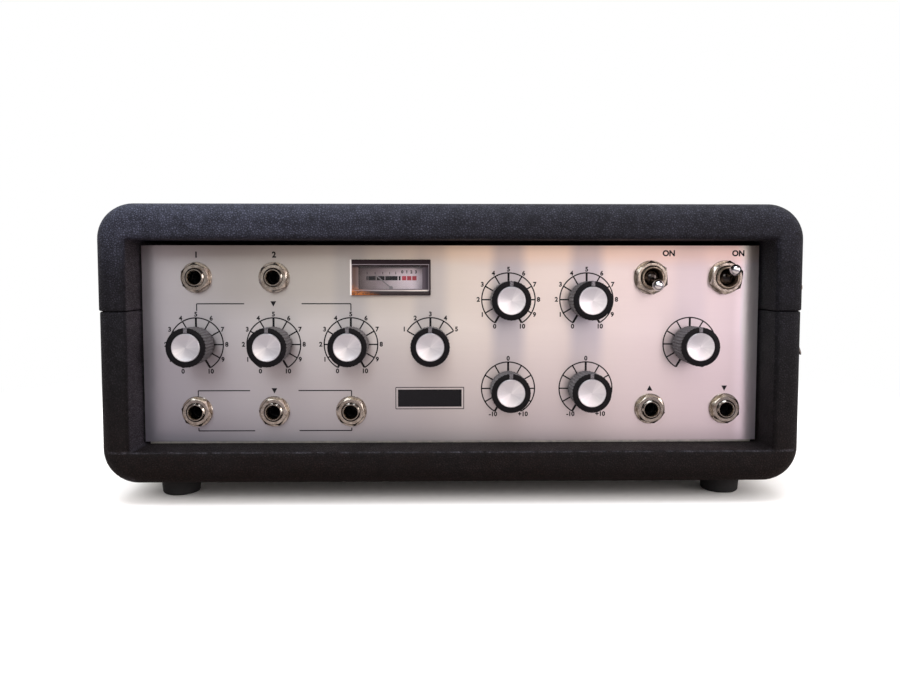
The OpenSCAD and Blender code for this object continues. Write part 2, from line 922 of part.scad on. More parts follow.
// A rotary control's fixed half: its case, its bush and three solder lugs
module rotary_control(case_r, depth, lugs) {
    difference() {
        union() {
            rod(case_r, behind - depth, behind);
            rod(bush_d / 2, behind - through, bush_out);
        }
        rod(spindle_r + run_fit, behind - spindle_in, bush_out + through);
    }
    for (i = [0:lugs - 1]) {
        x = (i - (lugs - 1) / 2) * lug_pitch;
        span(
            [x - lug_w / 2, -case_r - lug_l, behind - (depth + lug_t) / 2],
            [x + lug_w / 2, -case_r / 2, behind - (depth - lug_t) / 2]
        );
    }
}

// Eight volume controls
module control_pots() {
    color("#a7a39a") {
        for (at = pots_at) {
            on_panel(at) rotary_control(pot_d / 2, pot_depth, 3);
        }
    }
}

// Rotary switch for the five modes
module mode_switch() {
    color("#7c5a3a") {
        on_panel(mode_at) rotary_control(rotary_d / 2, rotary_depth, 5);
    }
}

// Seven jacks for plugs of a quarter inch
module phone_jacks() {
    color("#c8c4bb") {
        for (at = jacks_at) {
            on_panel(at) {
                difference() {
                    union() {
                        translate([-jack_body_w / 2, -jack_body_w / 2, behind - jack_body_l])
                            cube([jack_body_w, jack_body_w, jack_body_l]);
                        rod(jack_bush_d / 2, behind - through, jack_bush_out);
                    }
                    rod(jack_bore_d / 2, jack_bush_out - jack_bore_l, jack_bush_out + through);
                }
            }
        }
    }
}

// Two toggle switches without their levers
module switch_bodies() {
    color("#cfccc4") {
        for (at = toggles_at) {
            on_panel(at) {
                difference() {
                    union() {
                        translate([-toggle_body_w / 2, -toggle_body_h / 2, behind - toggle_body_l])
                            cube([toggle_body_w, toggle_body_h, toggle_body_l]);
                        rod(toggle_bush_d / 2, behind - through, toggle_bush_out);
                    }
                    rod(lever_bore_r, -lever_well, toggle_bush_out + through);
                }
            }
        }
    }
}

// A toggle lever with its pivot ball in the bush, tilted up or down
module toggle_lever(at, tilt) {
    color("#e3e3e3") {
        on_panel(at) {
            rotate([tilt, 0, 0]) {
                sphere(r = lever_ball_r);
                rod(lever_tail_r, -lever_tail, 0);
                translate([0, 0, lever_ball_r - lever_neck_in])
                    cylinder(r1 = lever_neck_r, r2 = lever_bat_r, h = toggle_l - lever_ball_r);
                translate([0, 0, toggle_l]) sphere(d = toggle_ball_d);
            }
        }
    }
}

// Lever of the standby switch, down
module standby_lever() {
    toggle_lever(standby_at, toggle_tilt);
}

// Lever of the power switch, up
module power_lever() {
    toggle_lever(power_at, -toggle_tilt);
}

// Meter body with its bezel, hollow from the dial to the window
module meter_case() {
    color("#2c2e31") {
        on_panel(meter_at) {
            difference() {
                union() {
                    translate([-meter_w / 2, -meter_h / 2, 0]) cube([meter_w, meter_h, meter_out]);
                    translate([-meter_body_w / 2, -meter_body_h / 2, -meter_depth])
                        cube([meter_body_w, meter_body_h, meter_depth + through]);
                }
                translate([-meter_room_w / 2, -meter_room_h / 2, -dial_depth])
                    cube([meter_room_w, meter_room_h, dial_depth + lens_out - lens_t]);
                translate([-window_w / 2, -window_h / 2, -dial_depth])
                    cube([window_w, window_h, dial_depth + meter_out + through]);
                translate([0, -needle_low, 0])
                    rod(needle_pin_r + run_fit, -dial_depth - needle_pin_in - move_gap, through - dial_depth);
            }
        }
    }
}

// Dial plate at the back of the meter's room
module meter_dial() {
    color("#e9e6df") {
        on_panel(meter_at) {
            difference() {
                translate([-meter_room_w / 2 + still_fit, -meter_room_h / 2 + still_fit, -dial_depth])
                    cube([meter_room_w - 2 * still_fit, meter_room_h - 2 * still_fit, dial_t]);
                translate([0, -needle_low, 0]) rod(needle_pin_r + run_fit, -dial_depth - through, 0);
            }
        }
    }
}

// Clear window of the meter
module meter_lens() {
    color("#dfe9ee", 0.4) {
        on_panel(meter_at)
            translate([-window_w / 2 + still_fit, -window_h / 2 + still_fit, lens_out - lens_t])
                cube([window_w - 2 * still_fit, window_h - 2 * still_fit, lens_t]);
    }
}

// Needle with its hub and pin, resting at the left end of the scale
module meter_needle() {
    color("#b3261e") {
        on_panel(meter_at) {
            translate([0, -needle_low, -needle_out]) {
                rotate([0, 0, needle_swing]) {
                    translate([-needle_w / 2, 0, 0]) cube([needle_w, needle_l, needle_t]);
                    rod(needle_hub_r, -needle_hub_low, needle_t + needle_hub_over);
                    rod(needle_pin_r, needle_out - dial_depth - needle_pin_in, 0);
                }
            }
        }
    }
}

// Outline of a knob: a circle with shallow flutes
module fluted(r) {
    polygon([
        for (i = [0:2 * flutes - 1])
            (r - (i % 2) * flute_depth) * [cos(i * 180 / flutes), sin(i * 180 / flutes)]
    ]);
}

// A knob, hollow over the nut, and the spindle that it sits on
module knob(at) {
    color("#151515") {
        on_panel(at) {
            difference() {
                translate([0, 0, knob_lift]) linear_extrude(knob_h - knob_lift) fluted(knob_r);
                rod(knob_hollow_r, 0, knob_hollow_top);
                rod(spindle_r + still_fit, 0, spindle_top + still_fit);
                rod(cap_d / 2 + still_fit, knob_h - cap_t, knob_h + through);
            }
            rod(spindle_r, behind - spindle_in + move_gap, spindle_top);
        }
    }
}

// The turned aluminium cap in a knob's top
module cap(at) {
    color("#d5d5d5") {
        on_panel(at) rod(cap_d / 2, knob_h - cap_t, knob_h);
    }
}

module mic_knob_1() { knob(mic_volume_at[0]); }
module mic_knob_2() { knob(mic_volume_at[1]); }
module mic_knob_3() { knob(mic_volume_at[2]); }
module mode_knob() { knob(mode_at); }
module repeat_knob() { knob(repeat_at); }
module echo_knob() { knob(echo_at); }
module bass_knob() { knob(bass_at); }
module treble_knob() { knob(treble_at); }
module delay_knob() { knob(delay_at); }
module mic_cap_1() { cap(mic_volume_at[0]); }
module mic_cap_2() { cap(mic_volume_at[1]); }
module mic_cap_3() { cap(mic_volume_at[2]); }
module mode_cap() { cap(mode_at); }
module repeat_cap() { cap(repeat_at); }
module echo_cap() { cap(echo_at); }
module bass_cap() { cap(bass_at); }
module treble_cap() { cap(treble_at); }
module delay_cap() { cap(delay_at); }

// Drive motor, hung under the deck with its shaft downward
module drive_motor() {
    color("#5b5e60") {
        difference() {
            on_plan([motor_x, motor_y]) rod(motor_d / 2, motor_low, deck_under);
            on_plan([motor_x, motor_y])
                rod(motor_shaft_r + run_fit, motor_low - through, deck_under - motor_cover);
            for (at = motor_screws_at) {
                on_plan(at) rod(screw_r + still_fit, deck_under - deck_screw_l, deck_under + through);
            }
        }
    }
}

// Motor shaft with its pulley
module motor_pulley() {
    color("#c9a24b") {
        on_plan([motor_x, motor_y]) {
            rod(motor_shaft_r, flywheel_low, deck_under - motor_cover - move_gap);
            rod(pulley_r, flywheel_low, flywheel_low + flywheel_h);
        }
    }
}

// Flywheel on the capstan shaft
module flywheel() {
    color("#a9adb0") {
        on_plan([capstan_x, capstan_y]) {
            difference() {
                rod(flywheel_r, flywheel_low, flywheel_low + flywheel_h);
                ring(
                    flywheel_r - flywheel_rim,
                    hub_r,
                    flywheel_low + flywheel_web,
                    flywheel_low + flywheel_h + through
                );
            }
            rod(hub_r, flywheel_low, flywheel_low + flywheel_h + hub_over);
            rod(capstan_r, tray_top + thrust_h + move_gap, capstan_top);
        }
    }
}

// Sleeve bearing of the capstan and, under its shaft, the pad that carries it
module capstan_bearing() {
    color("#b58d3d") {
        on_plan([capstan_x, capstan_y]) {
            difference() {
                union() {
                    rod(bearing_r, bearing_low, deck_top + bearing_flange_t);
                    rod(bearing_flange_r, deck_top, deck_top + bearing_flange_t);
                }
                rod(capstan_r + run_fit, bearing_low - through, deck_top + bearing_flange_t + through);
            }
            rod(thrust_r, tray_top, tray_top + thrust_h);
        }
    }
}

// Outline that a belt takes round two wheels
module belt_outline(room) {
    a = [capstan_x, capstan_y];
    b = [motor_x, motor_y];
    hull() {
        translate(a) circle(r = flywheel_r + room, $fn = 96);
        translate(b) circle(r = pulley_r + room, $fn = 48);
    }
}

// Flat rubber belt from the motor to the flywheel
module drive_belt() {
    color("#1a1a1a") {
        translate([0, 0, belt_low])
            linear_extrude(belt_w)
                difference() {
                    belt_outline(move_gap + belt_t);
                    belt_outline(move_gap);
                }
    }
}

// Rounded rectangle round the four guides
module loop_block(r, low, high) {
    for (x = [loop_left, loop_right], y = [loop_front, loop_back]) {
        translate([x, y, 0]) rod(r, low, high);
    }
    span([loop_left - r, loop_front, low], [loop_right + r, loop_back, high]);
    span([loop_left, loop_front - r, low], [loop_right, loop_back + r, high]);
}

// Endless loop of tape
module tape_loop() {
    color("#4a3222") {
        difference() {
            loop_block(tape_out_r, tape_low, tape_low + tape_w);
            loop_block(tape_in_r, tape_low - through, tape_low + tape_w + through);
        }
    }
}

// A guide's sleeve between two flanges
module guide_sleeve() {
    sleeve_low = tape_low - guide_play;
    sleeve_high = tape_low + tape_w + guide_play;
    rod(guide_flange_d / 2, sleeve_low - guide_flange_t, sleeve_low);
    rod(guide_r, sleeve_low - through / 2, sleeve_high + through / 2);
    rod(guide_flange_d / 2, sleeve_high, sleeve_high + guide_flange_t);
}

// Three fixed guides, each with a stub that is riveted into the deck
module tape_guides() {
    color("#d2d2d0") {
        for (at = [[loop_left, loop_front], [loop_right, loop_front], [loop_right, loop_back]]) {
            on_plan(at) {
                guide_sleeve();
                rod(guide_post_r, deck_top, tape_low);
                rod(screw_r, deck_under, deck_top + through);
            }
        }
    }
}

// Tension arm with its guide
module tension_arm() {
    color("#c2c2c0") {
        difference() {
            union() {
                on_plan(tension_guide) {
                    guide_sleeve();
                    rod(guide_post_r, tension_low, tape_low);
                    rod(pinch_tip_r, tension_low, tension_low + arm_t);
                }
                on_plan(tension_pivot)
                    rod(pinch_hub_r, tension_low, tension_low + tension_hub_h);
                arm_bar(tension_pivot, tension_guide, tension_low);
            }
            on_plan(tension_pivot)
                rod(pivot_r + run_fit, tension_low - through, tension_low + tension_hub_h + through);
        }
    }
}

// A flat bar from one point of the deck to another
module arm_bar(a, b, low) {
    step = b - a;
    translate([a[0], a[1], low])
        rotate([0, 0, atan2(step[1], step[0])])
            translate([0, -arm_half_w, 0])
                cube([norm(step), 2 * arm_half_w, arm_t]);
}

// Pinch arm, turned away from the tape, with a grip and the roller's pin
module pinch_arm() {
    grip_at = pinch_pivot + [pinch_grip_l, -pinch_grip_l];
    color("#bdbdbb") {
        difference() {
            union() {
                arm_bar(pinch_pivot, roller_at, arm_low);
                arm_bar(pinch_pivot, grip_at, arm_low);
                on_plan(pinch_pivot) rod(pinch_hub_r, arm_low, arm_low + arm_t + pinch_hub_over);
                on_plan(roller_at) {
                    rod(pinch_tip_r, arm_low, arm_low + arm_t);
                    rod(roller_pin_r, arm_low, roller_low + roller_h + post_over);
                }
                on_plan(grip_at) {
                    rod(pinch_tip_r, arm_low, arm_low + arm_t);
                    rod(grip_r, arm_low, arm_low + grip_h);
                }
            }
            on_plan(pinch_pivot)
                rod(pivot_r + run_fit, arm_low - through, arm_low + arm_t + pinch_hub_over + through);
        }
    }
}

// Rubber pinch roller
module pinch_roller() {
    color("#202020") {
        on_plan(roller_at)
            ring(roller_r, roller_pin_r + run_fit, roller_low, roller_low + roller_h);
    }
}

// Bar that carries the five heads
module head_bridge() {
    color("#9fa3a5") {
        difference() {
            span(
                [bridge_left, head_back - head_d, deck_top],
                [bridge_right, head_back - bridge_back, deck_top + bridge_t]
            );
            for (at = bridge_screws_at) {
                on_plan(at)
                    rod(screw_r + still_fit, deck_top - through, deck_top + bridge_t + through);
            }
        }
    }
}

// A tape head, with its rounded face to the tape
module tape_head(x) {
    low = deck_top + bridge_t;
    face_r = head_w;
    intersection() {
        span([x - head_w / 2, head_back - head_d, low], [x + head_w / 2, head_back, low + head_h]);
        union() {
            translate([x, head_back - face_r, 0]) rod(face_r, low, low + head_h);
            span([x - head_w, head_back - head_d, low], [x + head_w, head_back - face_r, low + head_h]);
        }
    }
}

// Erase head
module erase_head() {
    color("#5c4a3c") tape_head(erase_x);
}

// Record head
module record_head() {
    color("#c7c9ca") tape_head(record_x);
}

// Three playback heads
module playback_heads() {
    color("#bfc3c6") {
        for (x = playback_x) {
            tape_head(x);
        }
    }
}

// Mains transformer: a laminated core with two windows and the coil on its middle leg
module power_transformer() {
    low = tray_top;
    leg = (core[1] - 2 * core_window[0]) / 2;
    window_low = low + (core[2] - core_window[1]) / 2;
    coil_half_w = leg / 2 + core_window[0] - coil_fit;
    color("#4d4a45") {
        on_plan(core_at) {
            difference() {
                span([-core[0] / 2, -core[1] / 2, low], [core[0] / 2, core[1] / 2, low + core[2]]);
                for (s = [-1, 1]) {
                    translate([0, s * (leg / 2 + core_window[0] / 2), window_low + core_window[1] / 2])
                        cube([core[0] + 2 * through, core_window[0], core_window[1]], center = true);
                }
            }
            difference() {
                span(
                    [-core[0] / 2 - coil_out, -coil_half_w, window_low + coil_fit],
                    [core[0] / 2 + coil_out, coil_half_w, window_low + core_window[1] - coil_fit]
                );
                span(
                    [-core[0] / 2 - coil_fit, -leg / 2 - coil_fit, window_low - through],
                    [core[0] / 2 + coil_fit, leg / 2 + coil_fit, window_low + core_window[1] + through]
                );
            }
        }
    }
}

// Circuit board on its spacers, with its largest components
module circuit_board() {
    low = tray_top + board_lift;
    top = low + board[2];
    color("#6b5a2c") {
        on_plan(board_at) {
            span([-board[0] / 2, -board[1] / 2, low], [board[0] / 2, board[1] / 2, top]);
            for (x = [-1, 1], y = [-1, 1]) {
                translate([x * (board[0] / 2 - board_inset), y * (board[1] / 2 - board_inset), 0])
                    rod(board_spacer_r, tray_top, low + board[2] / 2);
            }
            for (can = cans) {
                translate([can[0], can[1], 0]) rod(can[2], top - through / 2, top + can[3]);
            }
            for (block = board_blocks) {
                translate([block[0], block[1], top + block[4] / 2 - through / 4])
                    cube([block[2], block[3], block[4] + through / 2], center = true);
            }
        }
    }
}

// Fuse holder in the rear plate
module fuse_holder() {
    color("#1f1f1f") {
        at_back(fuse_at) {
            rod(fuse_r, -fuse_in, through);
            rod(fuse_cap_r, 0, fuse_out);
        }
    }
}

// Gland through which the mains cord leaves
module cord_gland() {
    color("#232323") {
        at_back(gland_at) {
            difference() {
                union() {
                    rod(gland_r, -gland_in, gland_out);
                    rod(gland_flange_r, 0, gland_flange_t);
                }
                rod(gland_bore_r, -gland_in - through, gland_out + through);
            }
        }
    }
}

// Repeats children, drawn for a right-hand catch, at the front and the back of one side
module at_catches(side) {
    end = side > 0 ? catch_end_right : catch_end_left;
    for (y = [-1, 1]) {
        mirror([side > 0 ? 0 : 1, 0, 0])
            translate([0, y * (case_d / 2 - end - catch_w / 2), 0])
                children();
    }
}

// Studs on the lower part that the catches hook under
module catch_studs() {
    color("#b5b2aa") {
        for (side = [-1, 1]) {
            at_catches(side) {
                span(
                    [base_side, -plate_w / 2, stud_low - stud_plate_h / 3],
                    [base_side + plate_t, plate_w / 2, stud_low + 2 * stud_plate_h / 3]
                );
                span(
                    [base_side, -catch_w / 2 + stud_in, stud_low],
                    [stud_out, catch_w / 2 - stud_in, stud_low + stud_h]
                );
            }
        }
    }
}

// Hinge plates on the lid, each with two ears and a riveted pin
module catch_plates() {
    color("#b5b2aa") {
        for (side = [-1, 1]) {
            at_catches(side) {
                span(
                    [lid_side, -plate_w / 2, hinge_z - plate_h / 3],
                    [lid_side + plate_t, plate_w / 2, hinge_z + 2 * plate_h / 3]
                );
                for (y = [-1, 1]) {
                    translate([0, y * (catch_w / 2 + move_gap + ear_t / 2), 0]) {
                        span([lid_side, -ear_t / 2, hinge_z - ear_r], [hinge_x, ear_t / 2, hinge_z + ear_r]);
                        pin_along_y(ear_r, ear_t);
                    }
                }
                pin_along_y(hinge_pin_r, catch_w + 2 * (move_gap + ear_t));
            }
        }
    }
}

// A cylinder on a catch's hinge axis
module pin_along_y(r, l) {
    translate([hinge_x, 0, hinge_z]) rotate([90, 0, 0]) cylinder(r = r, h = l, center = true);
}

// A one-piece spring catch: barrel, blade, nib and finger tab
module catch_clip() {
    nib_high = stud_low - nib_gap;
    difference() {
        union() {
            pin_along_y(barrel_r, catch_w);
            rotate([90, 0, 0])
                linear_extrude(catch_w, center = true)
                    polygon([
                        [catch_in, hinge_z],
                        [catch_out, hinge_z],
                        [catch_out, nib_high - nib_h],
                        [tab_x, tab_z + tab_t],
                        [tab_x, tab_z],
                        [catch_in + catch_t / 3, nib_high - nib_h - catch_t],
                        [catch_in, nib_high - nib_h],
                        [nib_in, nib_high - nib_h],
                        [nib_in, nib_high],
                        [catch_in, nib_high]
                    ]);
        }
        pin_along_y(hinge_pin_r + run_fit, catch_w + 2 * through);
    }
}

// The two catches on the left side
module catches_left() {
    color("#c9c6bf") at_catches(-1) catch_clip();
}

// The two catches on the right side
module catches_right() {
    color("#c9c6bf") at_catches(1) catch_clip();
}

base_tub();
rubber_feet();
control_panel();
chassis_tray();
rear_plate();
deck_plate();
deck_pillars();
screws();
panel_nuts();
drive_motor();
capstan_bearing();
head_bridge();
erase_head();
record_head();
playback_heads();
tape_guides();
tape_loop();
drive_belt();
power_transformer();
circuit_board();
control_pots();
mode_switch();
phone_jacks();
switch_bodies();
meter_case();
meter_dial();
meter_lens();
fuse_holder();
cord_gland();
catch_studs();
lid_shell();
catch_plates();
catches_left();
catches_right();
standby_lever();
power_lever();
meter_needle();
flywheel();
motor_pulley();
pinch_arm();
pinch_roller();
tension_arm();
mic_knob_1();
mic_knob_2();
mic_knob_3();
mode_knob();
repeat_knob();
echo_knob();
bass_knob();
treble_knob();
delay_knob();
mic_cap_1();
mic_cap_2();
mic_cap_3();
mode_cap();
repeat_cap();
echo_cap();
bass_cap();
treble_cap();
delay_cap();
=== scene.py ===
from math import cos, pi, radians, sin, tan

import bmesh
import bpy
from mathutils import Matrix, Vector


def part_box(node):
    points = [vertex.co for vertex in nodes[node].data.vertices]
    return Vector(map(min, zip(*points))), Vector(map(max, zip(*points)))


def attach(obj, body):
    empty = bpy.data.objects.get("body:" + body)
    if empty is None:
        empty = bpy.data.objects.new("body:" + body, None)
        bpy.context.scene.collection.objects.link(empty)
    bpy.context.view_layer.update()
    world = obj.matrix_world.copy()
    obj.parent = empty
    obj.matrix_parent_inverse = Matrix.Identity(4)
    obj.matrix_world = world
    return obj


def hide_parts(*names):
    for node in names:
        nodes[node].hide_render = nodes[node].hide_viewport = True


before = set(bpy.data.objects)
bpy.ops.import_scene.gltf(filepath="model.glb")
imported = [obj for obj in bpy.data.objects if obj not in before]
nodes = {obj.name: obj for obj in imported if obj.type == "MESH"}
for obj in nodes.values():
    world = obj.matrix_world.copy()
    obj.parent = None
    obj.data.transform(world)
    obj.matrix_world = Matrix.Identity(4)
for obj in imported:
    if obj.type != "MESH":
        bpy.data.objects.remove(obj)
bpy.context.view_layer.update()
scene = bpy.context.scene
MM = 0.001

# ------------------------------------------------------------
# Camera, floor and light
# The camera stands half a metre in front of the case, a little left of its middle and level with its upper
# half. The strongest lamp hangs above it, weak windows light it from the left and the right, and the backdrop
# is white.


def added(name, data):
    """A new object of the scene."""
    made = bpy.data.objects.new(name, data)
    scene.collection.objects.link(made)
    return made


look_down, look_right = 3.25, 0.94
camera = added("camera", bpy.data.cameras.new("camera"))
camera.location = Vector((-7.5, -494.3, 116.0)) * MM
camera.rotation_euler = (radians(90 - look_down), 0, radians(-look_right))
camera.data.lens = 29.6
camera.data.sensor_width = 36
camera.data.shift_y = -0.031
camera.data.clip_start = 0.01
scene.camera = camera
scene.view_settings.view_transform = "Standard"

for name, place, target, width, height, power, colour in (
    ("window_lamp", (-0.55, -1.25, 0.95), (0, 0, 0.08), 0.9, 0.7, 6, (0.90, 0.95, 1.0)),
    ("ceiling_lamp", (-0.1, -0.25, 1.5), (0, 0, 0.1), 1.3, 1.0, 17, (0.82, 0.89, 1.0)),
    ("room_lamp", (1.25, -0.85, 0.40), (0, 0, 0.08), 0.7, 0.7, 8, (1.0, 0.93, 0.92)),
):
    light = bpy.data.lights.new(name, "AREA")
    light.shape = "RECTANGLE"
    light.size, light.size_y = width, height
    light.energy, light.color = power, colour
    lamp = added(name, light)
    lamp.location = place
    lamp.rotation_euler = (Vector(target) - Vector(place)).to_track_quat("-Z", "Y").to_euler()


class Wire:
    """An output of a node. Arithmetic on it adds Math nodes, and node() adds any other node."""

    def __init__(self, tree, socket=None):
        self.tree = tree
        self.socket = socket

    def node(self, kind, settings=None, inputs=None, output=0):
        made = self.tree.nodes.new(kind if "Node" in kind else "ShaderNode" + kind)
        for name, value in (settings or {}).items():
            setattr(made, name, value)
        for name, value in (inputs or {}).items():
            if isinstance(value, Wire):
                value.feed(made, name)
            else:
                made.inputs[name].default_value = value
        return Wire(self.tree, made.outputs[output])

    def math(self, operation, *values):
        """A Math node on the values, or on this wire alone."""
        return self.node("Math", {"operation": operation}, dict(enumerate(values or (self,))))

    def feed(self, target, socket):
        self.tree.links.new(self.socket, target.inputs[socket])

    def __add__(self, other):
        return self.math("ADD", self, other)

    def __sub__(self, other):
        return self.math("SUBTRACT", self, other)

    def __rsub__(self, other):
        return self.math("SUBTRACT", other, self)

    def __mul__(self, other):
        return self.math("MULTIPLY", self, other)

    def __truediv__(self, other):
        return self.math("DIVIDE", self, other)

    __radd__ = __add__
    __rmul__ = __mul__


def scaled(vector, factor):
    """A vector or a colour times a factor."""
    return vector.node("VectorMath", {"operation": "SCALE"}, {0: vector, "Scale": factor})


def xyz(vector):
    """The x, y and z of a vector."""
    made = vector.node("SeparateXYZ", {}, {0: vector}).socket.node
    return [Wire(vector.tree, socket) for socket in made.outputs]


def finish(name, **constants):
    """A new material: its Principled shader with constants on its sockets, and the place of a shaded point on
    the object, in millimetres."""
    made = bpy.data.materials.new(name)
    made.use_nodes = True
    shader = made.node_tree.nodes["Principled BSDF"]
    for socket, value in constants.items():
        shader.inputs[socket.replace("_", " ")].default_value = value
    return made, shader, scaled(Wire(made.node_tree).node("TexCoord", output=3), 1 / MM)


def noise(place, scale, detail=3.0, rough=0.5, stretch=(1, 1, 1)):
    """Smooth noise from 0 to 1, with scale cells in a millimetre, stretched along the axes."""
    spread = place.node("VectorMath", {"operation": "MULTIPLY"}, {0: place, 1: stretch})
    inputs = {"Vector": spread, "Scale": scale, "Detail": detail, "Roughness": rough}
    return place.node("TexNoise", {}, inputs)


def ramp(value, stops):
    """A value turned into a colour by a row of stops."""
    made = value.node("ValToRGB", {}, {0: value})
    elements = made.socket.node.color_ramp.elements
    elements.remove(elements[1])
    elements[0].position, elements[0].color = stops[0][0], (*stops[0][1], 1)
    for place, colour in stops[1:]:
        elements.new(place).color = (*colour, 1)
    return made


def blend(factor, first, second):
    """A mix of two colours, the second where the factor is 1."""
    colours = [c if isinstance(c, Wire) else (*c, 1) for c in (first, second)]
    return factor.node("Mix", {"data_type": "RGBA"}, {0: factor, 6: colours[0], 7: colours[1]}, output=2)


def tinted(colour, tint):
    """A colour times another."""
    settings = {"data_type": "RGBA", "blend_type": "MULTIPLY"}
    tint = tint if isinstance(tint, Wire) else (*tint, 1)
    return colour.node("Mix", settings, {0: 1.0, 6: colour, 7: tint}, output=2)


def smooth(value, low, high, bottom=0.0, top=1.0):
    """The bottom below low, the top above high, and smooth between them."""
    settings = {"interpolation_type": "SMOOTHSTEP"}
    return value.node("MapRange", settings, {0: value, 1: low, 2: high, 3: bottom, 4: top})


def bump(height, depth):
    """A normal that stands for bumps of that depth in millimetres, where height goes from 0 to 1."""
    return height.node("Bump", {}, {"Height": height, "Distance": depth * MM, "Strength": 1.0})


def ray_kinds(wire):
    """1 for rays from the camera, and 1 for rays that a mirror or a window passes on."""
    rays = wire.node("LightPath").socket.node.outputs
    camera_ray, mirror_ray, through_ray = (
        Wire(wire.tree, rays[kind]) for kind in ("Is Camera Ray", "Is Glossy Ray", "Is Transmission Ray")
    )
    return camera_ray, mirror_ray.math("MAXIMUM", mirror_ray, through_ray)


floor_white, shader, place = finish("floor_white", Roughness=0.9)
away = place.node("VectorMath", {"operation": "LENGTH"}, {0: place}, output=1)
camera_ray, mirror_ray = ray_kinds(place)
blend(camera_ray, (0.34, 0.28, 0.26), (0.90, 0.86, 0.83)).feed(shader, "Base Color")
glow_colour = blend(camera_ray, (0.30, 0.27, 0.31), (1, 1, 1))
glow = place.node("Emission", {}, {"Color": glow_colour, "Strength": 1.0})
far_off = smooth(away, 240.0, 500.0)
lit = Wire(place.tree, shader.outputs[0])
mixed = place.node("MixShader", {}, {0: far_off * (camera_ray + mirror_ray), 1: lit, 2: glow})
mixed.feed(floor_white.node_tree.nodes["Material Output"], "Surface")

floor_half = 8.0
floor_mesh = bpy.data.meshes.new("floor")
floor_corners = [(-1, -1), (1, -1), (1, 1), (-1, 1)]
floor_mesh.from_pydata([(x * floor_half, y * floor_half, 0) for x, y in floor_corners], [], [(0, 1, 2, 3)])
floor_mesh.materials.append(floor_white)
floor = added("floor", floor_mesh)

world = bpy.data.worlds.new("room")
scene.world = world
world.use_nodes = True
sky = Wire(world.node_tree)
sideways, heading, upward = xyz(sky.node("TexCoord", output=0))
ahead = smooth(0 - heading, 0.50, 0.95)
to_the_right = smooth(sideways, -0.36, 0.36, 0.34, 1.38)
above = smooth(upward, -0.22, 0.08, 0.22, 1.0)
overhead = smooth(upward, 0.35, 0.8)
room_dim, room_bright, room_ceiling = 0.06, 1.45, 0.22
room_light = room_dim + room_bright * ahead * to_the_right * above + room_ceiling * overhead
backdrop_light = smooth(heading, -0.10, 0.35)
room_light = room_light * (1 - backdrop_light) + backdrop_light
room_colour = ramp(sideways * 0.5 + 0.5, [
    (0.28, (0.98, 0.93, 0.93)), (0.42, (1.0, 0.94, 0.89)), (0.5, (1.0, 0.90, 0.81)), (0.6, (1.0, 0.88, 0.82)),
    (0.72, (1.0, 0.85, 0.90)),
])
camera_ray, mirror_ray = ray_kinds(sky)
diffuse_light = 0.62 + 1.1 * smooth(upward, 0.0, 0.7)
strength = camera_ray + (1 - camera_ray) * (mirror_ray * room_light + (1 - mirror_ray) * diffuse_light)
backdrop = world.node_tree.nodes["Background"]
plain = camera_ray.math("MAXIMUM", camera_ray, 1 - mirror_ray)
blend(plain.math("MAXIMUM", plain, backdrop_light), room_colour, (1, 1, 1)).feed(backdrop, "Color")
strength.feed(backdrop, "Strength")

# ------------------------------------------------------------
# Case: the lower part and the lid
# Both are plywood, rounded along the four long edges and round both rims, and covered in one piece of black
# pebbled leathercloth that is drawn over the rims, into the openings and round the joint between the halves.

base_low, base_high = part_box("base_tub")
lid_low, lid_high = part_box("lid_shell")
case_corner = 18.0
rim_round = 10.0
inner_round = 2.5
inner_corner = 1.4
edge_round = 0.9
half_depth = base_high.y / MM
panel_low, panel_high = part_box("control_panel")
inner_side = panel_high.x / MM + 1.0
lid_split = lid_low.z / MM
joint_gap = 0.3
inner_floor = 27.2
inner_top = 132.9


def shape(name, points, faces, *materials):
    """A mesh object from points in millimetres, shaded smooth up to the crease angle."""
    mesh = bpy.data.meshes.new(name)
    mesh.from_pydata([Vector(p) * MM for p in points], [], faces)
    form = bmesh.new()
    form.from_mesh(mesh)
    bmesh.ops.recalc_face_normals(form, faces=form.faces)
    form.to_mesh(mesh)
    form.free()
    return dress(name, mesh, *materials)


def dress(name, mesh, *materials, crease=35.0):
    """An object at the origin from a finished mesh."""
    for made in materials:
        mesh.materials.append(made)
    mesh.shade_smooth()
    mesh.set_sharp_from_angle(angle=radians(crease))
    return added(name, mesh)


def baked(piece):
    """The mesh of a piece as its modifiers make it, without materials. The piece is taken away."""
    bpy.context.view_layer.update()
    mesh = bpy.data.meshes.new_from_object(piece.evaluated_get(bpy.context.evaluated_depsgraph_get()))
    bpy.data.objects.remove(piece)
    mesh.materials.clear()
    return mesh


def quarter(steps):
    return [pi / 2 * i / steps for i in range(steps + 1)]


def wall_stations(half_w, outer_reach, inner_reach):
    """Stations along the case's walls, from the joint on the left, round both corners, to the joint on the
    right. Each has an outer point, an inner point and the outward direction, with heights from the joint."""
    left = []
    outer_rise, inner_rise = outer_reach - case_corner, inner_reach - inner_corner
    for share in (0.0, 0.33, 0.66):
        outer = (-half_w, edge_round + share * (outer_rise - edge_round))
        left.append((outer, (-inner_side, edge_round + share * (inner_rise - edge_round)), (-1, 0)))
    for a in quarter(14):
        way = (-cos(a), sin(a))
        outer = [c + case_corner * w for c, w in zip((case_corner - half_w, outer_rise), way)]
        inner = [c + inner_corner * w for c, w in zip((inner_corner - inner_side, inner_rise), way)]
        left.append((outer, inner, way))
    right = [((-o[0], o[1]), (-i[0], i[1]), (-n[0], n[1])) for o, i, n in reversed(left)]
    return left + right


